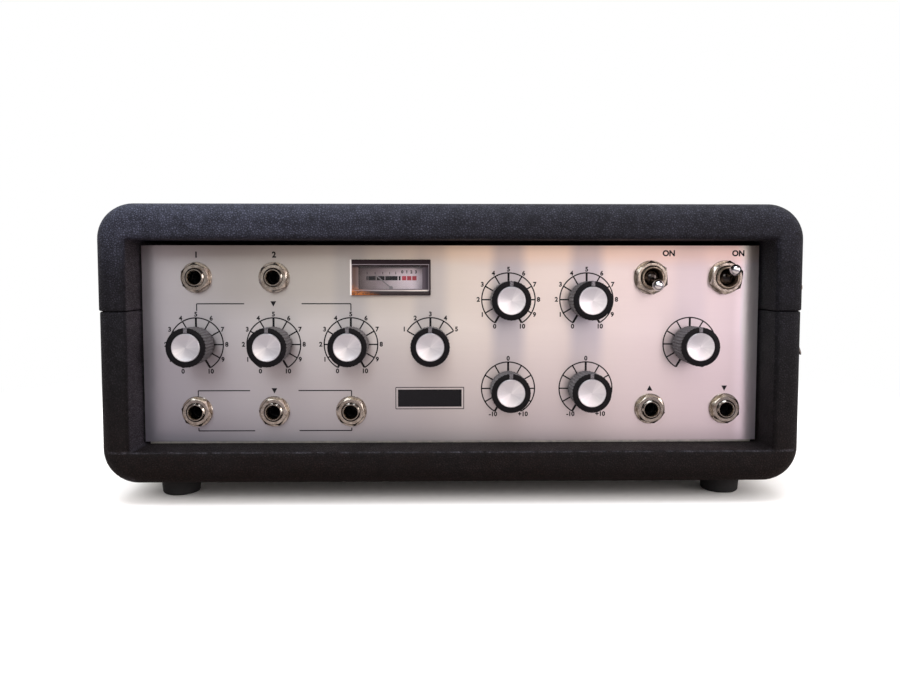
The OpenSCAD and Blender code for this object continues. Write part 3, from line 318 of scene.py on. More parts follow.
def wall_section(station, inset, rise=None):
    """The closed outline of a wall at a station, as points (x, y, height), shrunk by an inset."""
    outer, inner, way = station
    points = []
    for side in (-1, 1):
        half = []
        for a in quarter(5):
            reach = (inner_round - inset) * cos(a)
            y = half_depth - inner_round + (inner_round - inset) * sin(a)
            half.append([i + (inner_round - reach) * w for i, w in zip(inner, way)] + [y])
        for a in quarter(9):
            reach = rim_round - (rim_round - inset) * sin(a)
            y = half_depth - rim_round + (rim_round - inset) * cos(a)
            half.append([o - reach * w for o, w in zip(outer, way)] + [y])
        half = half if side < 0 else half[::-1]
        points += [(x, side * y, v if rise is None else rise) for x, v, y in half]
    return points


def lofted(rings, closed=True):
    """Points and faces of a skin over equal rings of points, the last joined to the first, or both capped."""
    count = len(rings[0])
    points = [point for ring in rings for point in ring]
    faces = []
    for r in range(len(rings) if closed else len(rings) - 1):
        s = (r + 1) % len(rings)
        for i in range(count):
            j = (i + 1) % count
            faces.append((r * count + i, r * count + j, s * count + j, s * count + i))
    if not closed:
        faces += [tuple(range(count)), tuple(range(len(points) - count, len(points)))]
    return points, faces


def case_half(half_w, outer_reach, inner_reach, joint_z, upward):
    """Points and faces of one half of the case, closed at both ends of its walls."""
    stations = wall_stations(half_w, outer_reach, inner_reach)
    ends = [(edge_round * (1 - cos(a)), edge_round * (1 - sin(a))) for a in quarter(4)][::-1]
    rings = [wall_section(stations[0], inset, rise) for inset, rise in ends[:-1]]
    rings += [wall_section(s, 0.0) for s in stations]
    rings += [wall_section(stations[-1], inset, rise) for inset, rise in reversed(ends[:-1])]
    return lofted([[(x, y, joint_z + upward * v) for x, y, v in ring] for ring in rings], closed=False)


def block(low, high):
    """Points and faces of a box between two corners."""
    points = [(x, y, z) for x in (low[0], high[0]) for y in (low[1], high[1]) for z in (low[2], high[2])]
    return points, [(0, 1, 3, 2), (4, 6, 7, 5), (0, 4, 5, 1), (2, 3, 7, 6), (0, 2, 6, 4), (1, 5, 7, 3)]


def turned(profile, sides, centre=(0, 0)):
    """Points and faces of a closed solid turned round a vertical axis. The profile runs from axis to axis,
    or is a closed ring where its first and last points lie off the axis."""
    points, rows = [], []
    for r, z in profile:
        if r < 1e-6:
            rows.append([len(points)] * sides)
            points.append((centre[0], centre[1], z))
        else:
            rows.append(list(range(len(points), len(points) + sides)))
            for i in range(sides):
                a = 2 * pi * i / sides
                points.append((centre[0] + r * cos(a), centre[1] + r * sin(a), z))
    if profile[0][0] > 1e-6:
        rows.append(rows[0])
    faces = []
    for low, high in zip(rows, rows[1:]):
        for i in range(sides):
            j = (i + 1) % sides
            face = []
            for corner in (low[i], low[j], high[j], high[i]):
                if corner not in face:
                    face.append(corner)
            if len(face) > 2:
                faces.append(tuple(face))
    return points, faces


def together(*parts):
    """Several lists of points and faces as one."""
    points, faces = [], []
    for part_points, part_faces in parts:
        start = len(points)
        points += part_points
        faces += [tuple(i + start for i in face) for face in part_faces]
    return points, faces


def cut(piece, tool):
    """The piece with the tool's solids taken out of it, as a plain mesh."""
    cutter = shape("cutter", *tool)
    change = piece.modifiers.new("cut", "BOOLEAN")
    change.operation = "DIFFERENCE"
    change.solver = "EXACT"
    change.object = cutter
    name, materials = piece.name, list(piece.data.materials)
    mesh = baked(piece)
    bpy.data.objects.remove(cutter)
    return dress(name, mesh, *materials)


leathercloth, shader, place = finish("leathercloth", Specular_IOR_Level=0.14)
waver = place.node("TexNoise", {}, {"Vector": place, "Scale": 0.45, "Detail": 2.0}, output=1)
shifted = place.node("VectorMath", {"operation": "MULTIPLY_ADD"}, {0: waver, 1: (1.1, 1.1, 1.1), 2: place})
pebbles, fine_pebbles = (
    place.node("TexVoronoi", {"feature": "DISTANCE_TO_EDGE"}, {"Vector": shifted, "Scale": scale})
    for scale in (0.9, 1.9)
)
pebble_crown, fine_crown = smooth(pebbles, 0.0, 0.42), smooth(fine_pebbles, 0.0, 0.25)
patches = smooth(noise(place, 0.05), 0.35, 0.65)
height = pebble_crown * 0.72 + fine_crown * 0.2 + noise(place, 3.5) * 0.08
bump(height, 0.3).feed(shader, "Normal")
across, depth, level = xyz(place)
leftward, front = 0.0 - across, -half_depth
# Painted light: darker and browner towards the bottom of the case, lighter and bluer towards the top.
crown_colour = ramp(level / 150.0, [
    (0.1, (0.0085, 0.0032, 0.0022)), (0.5, (0.0120, 0.0105, 0.0135)), (0.8, (0.0180, 0.0170, 0.0250)),
    (0.97, (0.038, 0.038, 0.054)),
])
crown_colour = blend(patches * 0.2, crown_colour, (0.019, 0.018, 0.021))
# Behind the front rim the top face takes a plain colour in place of that painted light.
over_top = smooth(depth, front + 14.0, front + 40.0)
crown_colour = blend(over_top * smooth(level, 100.0, 140.0), crown_colour, (0.020, 0.0185, 0.022))
# Painted sheen: bluish light on the upper front rim, stronger to the left.
painted_top_sheen = smooth(level, 112.0, 146.0) * smooth(leftward, -60.0, 150.0) * (1 - over_top)
crown_colour = blend(painted_top_sheen, crown_colour, (0.060, 0.064, 0.096))
# Painted light: the left inner wall of the front opening is lighter.
painted_light_left_wall = smooth(leftward, inner_side - 3.0, inner_side - 1.0) * smooth(depth, front + 1.0, front + 4.0)
painted_light_left_wall = painted_light_left_wall * smooth(leftward, inner_side + 6.0, inner_side + 1.0)
painted_light_left_wall = painted_light_left_wall * smooth(level, inner_top + 2.0, inner_top - 2.0)
crown_colour = blend(painted_light_left_wall, crown_colour, (0.050, 0.043, 0.054))
# A painted highlight and wear along the cloth's fold at the lower edge of the front opening, broken up by
# noise.
from_floor = (level - inner_floor).math("ABSOLUTE")
fold_highlight_and_wear = smooth(from_floor, 0.9, 0.2) * smooth(depth, front + 2.5, front + 1.0)
fold_highlight_and_wear = fold_highlight_and_wear * smooth(noise(place, 0.25, 4.0), 0.3, 0.7)
crown_colour = blend(fold_highlight_and_wear, crown_colour, (0.085, 0.080, 0.095))
cloudy = 0.74 + 0.52 * smooth(noise(place, 0.22, 5.0, 0.6), 0.3, 0.7)
crown_colour = scaled(crown_colour, cloudy)
# Painted shade: the creases between the pebbles are darker than their crowns.
blend(pebble_crown, scaled(crown_colour, 0.30), crown_colour).feed(shader, "Base Color")
(0.62 - 0.16 * pebble_crown + 0.08 * patches).feed(shader, "Roughness")

base_bottom, base_joint = base_low.z / MM, lid_split - joint_gap
base_points = case_half(base_high.x / MM, base_joint - base_bottom, base_joint - inner_floor, base_joint, -1)
case_lower = shape("case_lower", *base_points, leathercloth)
corners = [(x, y) for x in (-1, 1) for y in (-1, 1)]
bolt_x, bolt_y, bolt_sink_r, bolt_sink = 96.0, 80.0, 5.2, 4.0
sink_low, sink_top = base_bottom - 2, base_bottom + bolt_sink
sink_profile = [(0, sink_low), (bolt_sink_r, sink_low), (bolt_sink_r, sink_top), (0, sink_top)]
sinks = [turned(sink_profile, 32, (x * bolt_x, y * bolt_y)) for x, y in corners]
case_lower = cut(case_lower, together(*sinks))
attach(case_lower, "case")
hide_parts("base_tub")

tongue_t, tongue_end, tongue_fit = 4.0, 100.0, 0.4
tongue_top = base_high.z / MM
lid_points = case_half(lid_high.x / MM, lid_high.z / MM - lid_split, inner_top - lid_split, lid_split, 1)
case_lid = shape("case_lid", *lid_points, leathercloth)
rebate_end, rebate_top = tongue_end + tongue_fit, tongue_top + tongue_fit
rebates = [
    block((min(a, b), -rebate_end, lid_split - 1), (max(a, b), rebate_end, rebate_top))
    for a, b in [(s * (inner_side - 1), s * (inner_side + tongue_t + tongue_fit)) for s in (-1, 1)]
]
case_lid = cut(case_lid, together(*rebates))
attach(case_lid, "lid")
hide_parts("lid_shell")

bare_wood, shader, place = finish("bare_wood", Roughness=0.62)
streaks = noise(place, 0.9, 4.0, 0.6, (1, 0.06, 1))
ramp(streaks, [(0.3, (0.22, 0.13, 0.06)), (0.7, (0.40, 0.26, 0.14))]).feed(shader, "Base Color")
bump(streaks, 0.08).feed(shader, "Normal")


def chamfered(low, high, edge):
    """Points and faces of a box with its edges chamfered."""
    form = bmesh.new()
    for axis in range(3):
        for side in [(x, y, z) for x in (0, 1) for y in (0, 1) for z in (0, 1)]:
            inward = [0 if i == axis else edge for i in range(3)]
            form.verts.new([h - n if s else l + n for l, h, s, n in zip(low, high, side, inward)])
    bmesh.ops.convex_hull(form, input=form.verts)
    bmesh.ops.dissolve_limit(form, angle_limit=0.01, verts=form.verts, edges=form.edges)
    form.verts.index_update()
    made = [tuple(v.co) for v in form.verts], [tuple(v.index for v in f.verts) for f in form.faces]
    form.free()
    return made


tongues = [
    chamfered((min(a, b), -tongue_end, base_joint - 1), (max(a, b), tongue_end, tongue_top), 0.5)
    for a, b in [(s * inner_side, s * (inner_side + tongue_t)) for s in (-1, 1)]
]
case_tongues = shape("case_tongues", *together(*tongues), bare_wood)
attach(case_tongues, "case")

# ------------------------------------------------------------
# Feet
# Four turned rubber feet with a rounded tip, each with a well under it for the screw that holds it.


def new_tree(name, sockets):
    """A Geometry Nodes tree with inputs of these names and kinds, a wire from each of them, and an output."""
    tree = bpy.data.node_groups.new(name, "GeometryNodeTree")
    for socket, kind in sockets.items():
        tree.interface.new_socket(socket, in_out="INPUT", socket_type="NodeSocket" + kind)
    tree.interface.new_socket("Result", in_out="OUTPUT", socket_type="NodeSocketGeometry")
    start = tree.nodes.new("NodeGroupInput")
    return tree, *(Wire(tree, start.outputs[socket]) for socket in sockets)


def close_tree(geometry, material):
    """Makes the copies in a tree real, gives them their material and sends them to its output."""
    real = geometry.node("GeometryNodeRealizeInstances", {}, {"Geometry": geometry})
    painted = real.node("GeometryNodeSetMaterial", {}, {"Geometry": real, "Material": material})
    painted.feed(painted.tree.nodes.new("NodeGroupOutput"), "Result")


def grown(piece, tree, settings, material, crease=35.0):
    """The piece as a Geometry Nodes tree makes it, baked to a plain mesh."""
    change = piece.modifiers.new("grow", "NODES")
    change.node_group = tree
    for item in tree.interface.items_tree:
        if item.name in settings:
            change[item.identifier] = settings[item.name]
        elif item.name == "Finish":
            change[item.identifier] = material
    name = piece.name
    return dress(name, baked(piece), material, crease=crease)


# The copies tree stands a copy of a pattern on every point, leant over and turned by chance.
copies, places, pattern, lean, free_turn, material = new_tree("copies", {
    "Places": "Geometry", "Pattern": "Object", "Lean": "Vector", "Free turn": "Float", "Finish": "Material"})
pattern = pattern.node("GeometryNodeObjectInfo", {}, {"Object": pattern}, "Geometry")
copied = {"Points": places, "Instance": pattern, "Rotation": lean}
stood = places.node("GeometryNodeInstanceOnPoints", {}, copied)
chance = free_turn.node("FunctionNodeRandomValue", {}, {3: free_turn, "Seed": 11}, output=1)
about = chance.node("CombineXYZ", {}, {"Z": chance})
turn = {"Instances": stood, "Rotation": about, "Local Space": True}
close_tree(stood.node("GeometryNodeRotateInstances", {}, turn), material)

facing_front = (pi / 2, 0, 0)
facing_back = (-pi / 2, 0, 0)
facing_down = (pi, 0, 0)
upright = (0, 0, 0)


def set_out(name, pattern, places, lean, free_turn, material, crease=35.0):
    """Copies of a pattern, which is an object or points and faces, at places in millimetres."""
    pattern_piece = pattern if isinstance(pattern, bpy.types.Object) else shape(name + "_pattern", *pattern)
    settings = {"Pattern": pattern_piece, "Lean": lean, "Free turn": free_turn}
    made = grown(shape(name, places, []), copies, settings, material, crease)
    bpy.data.objects.remove(pattern_piece)
    return made


def even_finish(name, grain, colours, rough, limits=None, relief=0.0, relief_grain=None, **constants):
    """A finish from one noise, sharpened between limits, that blends two colours and adds to the roughness.
    Its relief is the depth of bumps from the same noise, or from one of their own."""
    made, shader, place = finish(name, **constants)
    pattern = noise(place, *grain)
    if limits:
        pattern = smooth(pattern, *limits)
    blend(pattern, *colours).feed(shader, "Base Color")
    (rough[0] + rough[1] * pattern).feed(shader, "Roughness")
    if relief:
        bump(noise(place, *relief_grain) if relief_grain else pattern, relief).feed(shader, "Normal")
    return made


rubber = even_finish(
    "rubber", grain=(0.35, 4.0), limits=(0.4, 0.75), colours=((0.010, 0.010, 0.011), (0.020, 0.019, 0.019)),
    rough=(0.66, 0.2), relief=0.05, relief_grain=(2.2, 5.0, 0.6), Specular_IOR_Level=0.35)

foot_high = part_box("rubber_feet")[1] / MM
foot_r, foot_tip_r, foot_edge = 10.5, 9.5, 1.4
foot_well_r, foot_well, foot_hole_r = 4.4, 4.0, 2.2
foot_x, foot_y, foot_h = foot_high.x - foot_r, foot_high.y - foot_r, foot_high.z
foot_profile = [(foot_well_r, foot_well), (foot_well_r, 0.4), (foot_well_r + 0.4, 0)]
foot_profile += [
    (foot_tip_r - foot_edge * (1 - sin(a)), foot_edge * (1 - cos(a))) for a in quarter(6)
]
foot_profile += [(foot_r - 0.2, foot_h - 0.5), (foot_r, foot_h)]
foot_profile += [(foot_hole_r, foot_h), (foot_hole_r, foot_well)]
foot_places = [(x * foot_x, y * foot_y, 0) for x, y in corners]
feet = set_out("feet", turned(foot_profile, 64), foot_places, upright, 0.0, rubber)
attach(feet, "case")
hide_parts("rubber_feet")

# ------------------------------------------------------------
# Control panel
# A sheet of aluminium, brushed along its length. The brushing throws reflections up and down, so that the
# knobs and the room show in it as soft upright bands. Its colour holds painted reflections as well: bluish
# upright bands in line with the knobs, darker towards the left and the bottom, warm along the top, lighter at
# the side edges, and painted shade over the upper left.

panel_front = panel_low.y / MM
panel_mid_z = (panel_low.z + panel_high.z) / 2 / MM
panel_half_w = panel_high.x / MM
panel_half_h = (panel_high.z - panel_low.z) / 2 / MM

brushed, shader, place = finish(
    "brushed_aluminium", Metallic=0.93, Anisotropic=0.85, Anisotropic_Rotation=0.25)
across, level = xyz(place)[::2]
share = across / (2 * panel_half_w) + 0.5
rise = (level - panel_mid_z) / (2 * panel_half_h) + 0.5
drift = noise(place, 0.012, 2.0, 0.5, (1, 1, 0.25))
# Painted reflection: darker and greyer to the left, lighter and warmer to the right.
tint = ramp(share + 0.3 * (drift - 0.5), [
    (0.0, (0.56, 0.53, 0.55)), (0.25, (0.70, 0.66, 0.64)), (0.5, (0.90, 0.84, 0.79)),
    (0.72, (0.91, 0.83, 0.81)), (1.0, (0.88, 0.78, 0.81)),
])
# Painted reflection: darker and bluer towards the bottom, warm along the top right of the middle, and lifted
# again over the lower right.
haze_and_painted_reflection = ramp(rise + 0.25 * (drift - 0.5), [
    (0.0, (0.58, 0.58, 0.64)), (0.35, (0.82, 0.81, 0.84)), (0.6, (1.0, 1.0, 1.0)), (0.9, (0.98, 0.96, 0.94)),
    (1.0, (0.88, 0.81, 0.77)),
])
haze_and_painted_reflection = blend(0.9 * smooth(rise, 0.88, 0.98) * smooth(share, 0.38, 0.48), haze_and_painted_reflection, (1.10, 0.93, 0.78))
haze_and_painted_reflection = blend(0.45 * smooth(share, 0.62, 0.85) * smooth(rise, 0.6, 0.4), haze_and_painted_reflection, (1.0, 0.99, 0.98))
tint = tinted(tint, haze_and_painted_reflection)
# Painted reflections of the knobs: soft bluish darker upright bands in line with them, over the upper part of
# the panel.
shade_columns = [(-52.7, 0.45), (-11.4, 0.5), (29.2, 1.0), (69.9, 1.0), (124.3, 0.3)]
shade = sum(strength * smooth((across - x).math("ABSOLUTE"), 12.0, 4.0) for x, strength in shade_columns)
tint = blend(shade * smooth(rise + 0.2 * drift, 0.30, 0.75), tint, tinted(tint, (0.69, 0.73, 0.83)))
# Painted shade over the upper left of the panel.
painted_shade_upper_left = smooth(rise, 0.55, 0.8) * smooth(share, 0.58, 0.34) * smooth(share, 0.0, 0.16)
tint = blend(painted_shade_upper_left, tint, tinted(tint, (0.76, 0.75, 0.71)))
lit_edge = smooth(share, 0.028, 0.002) + 0.55 * smooth(share, 0.955, 0.985)
tint = blend(lit_edge, tint, tinted(tint, (1.7, 1.75, 1.8)))
lines = noise(place, 8.0, 3.0, 0.6, (0.008, 1, 1))
broad_lines = noise(place, 0.7, 2.0, 0.5, (0.02, 1, 1))
blend(lines * 0.6 + broad_lines * 0.4, tinted(tint, (0.94, 0.94, 0.945)), tint).feed(shader, "Base Color")
smudges = smooth(noise(place, 0.03, 4.0), 0.45, 0.8)
(0.29 + 0.04 * lines + 0.05 * smudges).feed(shader, "Roughness")
bump(lines, 0.012).feed(shader, "Normal")


def repaint(material, *names):
    """Packed nodes with a material of their own."""
    for name in names:
        nodes[name].data.materials.clear()
        nodes[name].data.materials.append(material)


repaint(brushed, "control_panel")

# ------------------------------------------------------------
# Print on the panel
# Thin black ink: a ring with ticks round every control, with numbers round all but the delay, brackets that
# join the microphone controls and inputs, and plain signs at the inputs. The frame under the mode control
# stays an empty field.

ink_out = 0.03
ink_line = 0.66
ring_r, tick_in, number_r, number_h = 13.9, 4.8, 15.7, 2.3
row_drop, upper_row, input_drop, output_drop = -0.3, 34.8, 34.9, 34.0
tone_rows = 46.5
mic_x = [-132.7, -92.7, -52.7]
line_x = [-132.0, -92.0]
mode_x, repeat_x, echo_x, delay_x = -11.4, 29.2, 69.9, 124.3
standby_x, power_x, output_x, pedal_x = 103.3, 142.3, 103.7, 143.1
high_row = row_drop + tone_rows / 2
low_row = row_drop - tone_rows / 2
switch_row = row_drop + upper_row
mic_input_row = row_drop - input_drop
output_row = row_drop - output_drop


def on_panel(x, up, out=0.0):
    """A point of the row frame, in millimetres, from a place on the panel and a height above its face."""
    return (x, panel_front - out, panel_mid_z + up)


def on_ink(x, up):
    """A point of the ink on the panel."""
    return on_panel(x, up, ink_out)


def corners_of(left, right, low, high):
    return [(left, low), (right, low), (right, high), (left, high)]


def inked(outline, place=on_ink):
    """A flat field of ink with this outline."""
    return [place(x, up) for x, up in outline], [tuple(range(len(outline)))]


def ruled(start, end, width=ink_line):
    """A straight line of ink."""
    way = (Vector(end) - Vector(start)).normalized() * width / 2
    side = Vector((-way.y, way.x))
    a, b = Vector(start), Vector(end)
    return inked([a - side, b - side, b + side, a + side])


def clockwise(centre, radius, angle):
    """A point round a centre, with the angle in degrees from straight up."""
    a = radians(angle)
    return (centre[0] + radius * sin(a), centre[1] + radius * cos(a))


def ringed(centre, radius, start, end, width=ink_line):
    """An arc of ink."""
    steps = max(8, int(abs(end - start) / 3))
    angles = [start + (end - start) * i / steps for i in range(steps + 1)]
    points = [on_ink(*clockwise(centre, radius + s * width / 2, a)) for a in angles for s in (-1, 1)]
    return points, [(2 * i, 2 * i + 1, 2 * i + 3, 2 * i + 2) for i in range(steps)]


def lettered(text, x, up, height, place=on_ink):
    """Plain numbers or letters of ink, centred on a place."""
    curve = bpy.data.curves.new("lettering", "FONT")
    curve.body = text
    curve.align_x = curve.align_y = "CENTER"
    curve.size = height * 1.42
    curve.resolution_u = 4
    curve.offset = 0.06 * height
    mesh = baked(added("lettering", curve))
    return [place(x + v.co.x, up + v.co.y) for v in mesh.vertices], [tuple(p.vertices) for p in mesh.polygons]


def dial(centre, reach, step, strong, labels):
    """A control's scale: an arc, ticks that point inward, some of them strong, and labels by angle."""
    marks = [ringed(centre, ring_r, -reach, reach)]
    for angle in range(-reach, reach + 1, step):
        width = 1.1 if angle in strong else ink_line + 0.05
        start, end = (clockwise(centre, radius, angle) for radius in (ring_r - tick_in, ring_r))
        marks.append(ruled(start, end, width))
    for text, angle in labels:
        marks.append(lettered(text, *clockwise(centre, number_r, angle), number_h))
    return together(*marks)


sweep, mode_sweep, step, end_turn = 150, 60, 30, 3
tens = [(str(i), -sweep + step * i + end_turn * ((i == 10) - (i == 0))) for i in range(11)]
halves = [("-10", -sweep), ("0", 0), ("+10", sweep)]
five = [(str(i + 1), -mode_sweep + step * i) for i in range(5)]
strong = (-sweep, 0, sweep)
numbered = [(x, row_drop) for x in mic_x] + [(repeat_x, high_row), (echo_x, high_row)]
print_parts = [dial(c, sweep, step, strong, tens) for c in numbered]
print_parts += [dial(c, sweep, step, strong, halves) for c in ((repeat_x, low_row), (echo_x, low_row))]
print_parts.append(dial((delay_x, row_drop), sweep, step, strong, []))
print_parts.append(dial((mode_x, row_drop), mode_sweep, step, (0,), five))

bracket_line = 0.55
volume_bracket, input_bracket, lower_bracket = 20.9, -24.4, -45.5
bracket_left, bracket_right = mic_x[0] + 0.5, mic_x[2] + 0.1
for level, tip, gap_left, gap_right in (
    (volume_bracket, -3.7, -107.7, -78.1), (input_bracket, -2.8, -105.3, -80.2),
    (lower_bracket, 1.5, -103.0, -79.9),
):
    for end, gap in ((bracket_left, gap_left), (bracket_right, gap_right)):
        print_parts.append(ruled((end, level), (gap, level), bracket_line))
        print_parts.append(ruled((end, level), (end, level + tip), bracket_line))

field_left, field_right, field_low, field_top = -29.5, 6.0, -34.2, -22.9
field_edge, field_line = 1.1, 0.4
print_parts.append(inked(corners_of(field_left + field_edge, field_right - field_edge,
                                    field_low + field_edge, field_top - field_edge)))
field = corners_of(field_left, field_right, field_low, field_top)
for start, end in ((0, 1), (3, 2), (0, 3), (1, 2)):
    print_parts.append(ruled(field[start], field[end], field_line))

sign_h, sign_up = 2.9, 10.7
on_x, on_up, input_sign_up = (standby_x + 9.4, power_x + 6.8), 12.4, 11.6
for x in on_x:
    print_parts.append(lettered("ON", x, switch_row + on_up, sign_h))
for i, x in enumerate(line_x):
    print_parts.append(lettered(str(i + 1), x, switch_row + input_sign_up, sign_h))
triangle_half_w, triangle_low, triangle_tip = 1.5, 1.3, 1.5
for x, up, way in (
    (mic_x[1], volume_bracket, -1), (mic_x[1], input_bracket, -1), (output_x, output_row + sign_up, 1),
    (pedal_x, output_row + sign_up, -1),
):
    low, tip = up - triangle_low * way, up + triangle_tip * way
    print_parts.append(inked([(x - triangle_half_w, low), (x + triangle_half_w, low), (x, tip)]))

ink = even_finish(
    "black_ink", grain=(1.6, 4.0), limits=(0.55, 0.8), rough=(0.5, 0.2),
    colours=((0.0045, 0.004, 0.006), (0.022, 0.020, 0.024)), Specular_IOR_Level=0.2)


def printed(name, parts, material):
    """Flat marks as one mesh that faces the front."""
    marks = shape(name, *together(*parts), material)
    for face in marks.data.polygons:
        if face.normal.y > 0:
            face.flip()
    return marks


panel_print = printed("panel_print", print_parts, ink)
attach(panel_print, "case")

# ------------------------------------------------------------
# Knobs
# Nine moulded black knobs with fine flutes, pushed on the spindles. Each holds a spun aluminium cap in its
# top and has a short bright pointer from the cap to the rim.

knob_box = [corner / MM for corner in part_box("mode_knob")]
knob_r = (knob_box[1].x - knob_box[0].x) / 2
knob_top = panel_front - knob_box[0].y
knob_lift = 0.8
cap_r, cap_t = 7.2, 1.2
flute_count, flute_depth = 36, 0.5
nut_room_r, nut_room = 7.6, 4.0
knob_side_low, knob_side_top = knob_lift + 0.4, knob_top - 0.6
knob_foot_r = knob_r - 0.45

knob_profile = [(0, nut_room), (nut_room_r, nut_room), (nut_room_r, knob_lift)]
knob_profile.append((knob_foot_r - 0.3, knob_lift))
for i in range(7):
    rise = knob_side_low + (knob_side_top - knob_side_low) * i / 6
    knob_profile.append((knob_foot_r + (knob_r - knob_foot_r) * i / 6, rise))
knob_profile += [(knob_r - inset, knob_top - drop) for inset, drop in ((0.04, 0.3), (0.2, 0.08), (0.5, 0))]
knob_profile += [(cap_r + 0.1, knob_top), (cap_r + 0.05, knob_top - 0.1), (cap_r + 0.05, knob_top - cap_t)]
knob_profile.append((0, knob_top - cap_t))

# The flutes tree presses flutes into the side of a turned solid that stands on the origin.
flutes, blank, count, sunk, side_r, low, high, material = new_tree("flutes", {
    "Blank": "Geometry", "Flutes": "Float", "Depth": "Float", "From radius": "Float", "Low": "Float",
    "High": "Float", "Finish": "Material"})
x, y, z = xyz(blank.node("GeometryNodeInputPosition"))
reach = (x * x + y * y).math("SQRT")
wave = (y.math("ARCTAN2", y, x) * count).math("COSINE")
hollow = (0.5 - wave * 0.5) * sunk
between = z.math("GREATER_THAN", z, low) * z.math("LESS_THAN", z, high)
factor = 1.0 - hollow * (reach.math("GREATER_THAN", reach, side_r) * between) / reach
moved = z.node("CombineXYZ", {}, {0: x * factor, 1: y * factor, 2: z})
close_tree(blank.node("GeometryNodeSetPosition", {}, {"Geometry": blank, "Position": moved}), material)


def fluted(name, profile, fineness, count, sizes, material, crease):
    """A turned solid with flutes. Their sizes are the depth, the radius they start from, and two heights."""
    settings = dict(zip(("Depth", "From radius", "Low", "High"), [size * MM for size in sizes]))
    settings["Flutes"] = float(count)
    return grown(shape(name, *turned(profile, fineness * count)), flutes, settings, material, crease)


knob_black, shader, place = finish("knob_plastic", Specular_IOR_Level=0.14)
worn = smooth(noise(place, 0.8, 4.0), 0.5, 0.8)
moulded = blend(worn, (0.0030, 0.0025, 0.0034), (0.0075, 0.0066, 0.0080))
# Painted sheen: the fluted side of the knob is a speckled light grey, while the front face stays moulded
# black.
flank = smooth(xyz(place)[1] - panel_front, 0.9 - knob_top, 1.4 - knob_top)
painted_sheen_speckle = smooth(noise(place, 1.6, 3.0), 0.30, 0.70)
blend(flank * (0.25 + 0.75 * painted_sheen_speckle), moulded, (0.135, 0.130, 0.140)).feed(shader, "Base Color")
(0.42 + 0.16 * worn).feed(shader, "Roughness")
bump(noise(place, 4.0, 4.0), 0.02).feed(shader, "Normal")

pointer_metal = even_finish(
    "pointer_metal", grain=(1.5, 3.0), limits=(0.35, 0.7), colours=((0.27, 0.26, 0.28), (0.13, 0.125, 0.135)),
    rough=(0.34, 0.2), Metallic=0.9)

spun, shader, place = finish("spun_aluminium", Metallic=0.92)
front_view = place.node("TexCoord", output=2)
from_middle = place.node("VectorMath", {"operation": "SUBTRACT"}, {0: front_view, 1: (0.5, 0.5, 0)})
radius = place.node("VectorMath", {"operation": "LENGTH"}, {0: from_middle}, output=1)
round_x, round_y = xyz(from_middle)[:2]
angle = round_y.math("ARCTAN2", round_y, round_x)
unit = place.node("VectorMath", {"operation": "NORMALIZE"}, {0: from_middle})
# Painted highlights: two opposite bright wedges across the cap's middle and fine radial streaks.
rays = place.node("TexNoise", {}, {"Vector": unit, "Scale": 5.0, "Detail": 4.0, "Roughness": 0.6})
cone_angle, cone_count = 0.35, 2
cone = (cone_count * (angle - cone_angle)).math("COSINE") * 0.5 + 0.5
shine = smooth(cone * 0.5 + rays * 0.6, 0.3, 1.0)
blend(shine, (0.74, 0.73, 0.76), (1.0, 0.99, 1.0)).feed(shader, "Base Color")
groove = (radius * 420.0).math("SINE") * 0.5 + 0.5
outward = place.node("CombineXYZ", {}, {0: radius})
uneven = place.node("TexNoise", {}, {"Vector": outward, "Scale": 90.0, "Detail": 3.0})
(0.24 + 0.12 * uneven).feed(shader, "Roughness")
bump(groove * 0.5 + uneven * 0.5, 0.02).feed(shader, "Normal")

cap_profile = [(0, knob_top - cap_t), (cap_r - 0.05, knob_top - cap_t), (cap_r - 0.05, knob_top - 0.25)]
cap_profile += [(cap_r - 0.3, knob_top), (cap_r - 0.7, knob_top), (cap_r - 1.1, knob_top - 0.12)]
cap_profile.append((0, knob_top - 0.2))
pointer_half_w, pointer_in, pointer_out = 0.9, cap_r + 0.1, knob_r - 0.25


def lay_flat(piece, centre_x, centre_z, width):
    """A UV map that is the piece's front view, with the centre at (0.5, 0.5) and width millimetres across."""
    uv = piece.data.uv_layers.new(name="front")
    for loop in piece.data.loops:
        point = piece.data.vertices[loop.vertex_index].co / MM
        uv.data[loop.index].uv = ((point.x - centre_x) / width + 0.5, (point.z - centre_z) / width + 0.5)


def stand(piece, place, lean=facing_front):
    """Moves a finished mesh, made upright on the origin, to its place, leant over."""
    piece.data.transform(Matrix.Translation(Vector(place) * MM) @ Matrix.Rotation(lean[0], 4, "X"))


knobs = {
    "mic_1": (mic_x[0], row_drop), "mic_2": (mic_x[1], row_drop), "mic_3": (mic_x[2], row_drop),
    "mode": (mode_x, row_drop), "repeat": (repeat_x, high_row), "echo": (echo_x, high_row),
    "bass": (repeat_x, low_row), "treble": (echo_x, low_row), "delay": (delay_x, row_drop),
}
for control, (x, up) in knobs.items():
    body = control + "_control"
    mic = control.startswith("mic_")
    knob_node = f"mic_knob_{control[-1]}" if mic else control + "_knob"
    cap_node = f"mic_cap_{control[-1]}" if mic else control + "_cap"
    flute_sizes = (flute_depth, knob_foot_r - 0.1, knob_lift + 0.2, knob_top - 0.1)
    knob = fluted(control + "_knob_body", knob_profile, 6, flute_count, flute_sizes, knob_black, 50.0)
    stand(knob, on_panel(x, up))
    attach(knob, body)
    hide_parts(knob_node)
    cap = shape(control + "_cap_disc", *turned(cap_profile, 96), spun)
    stand(cap, on_panel(x, up))
    lay_flat(cap, x, panel_mid_z + up, 2 * cap_r)
    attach(cap, body)
    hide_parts(cap_node)
    bar = chamfered((-pointer_half_w, pointer_in, knob_top - 0.3),
                    (pointer_half_w, pointer_out, knob_top + 0.08), 0.06)
    pointer = shape(control + "_pointer", *bar, pointer_metal)
    stand(pointer, on_panel(x, up))
    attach(pointer, body)

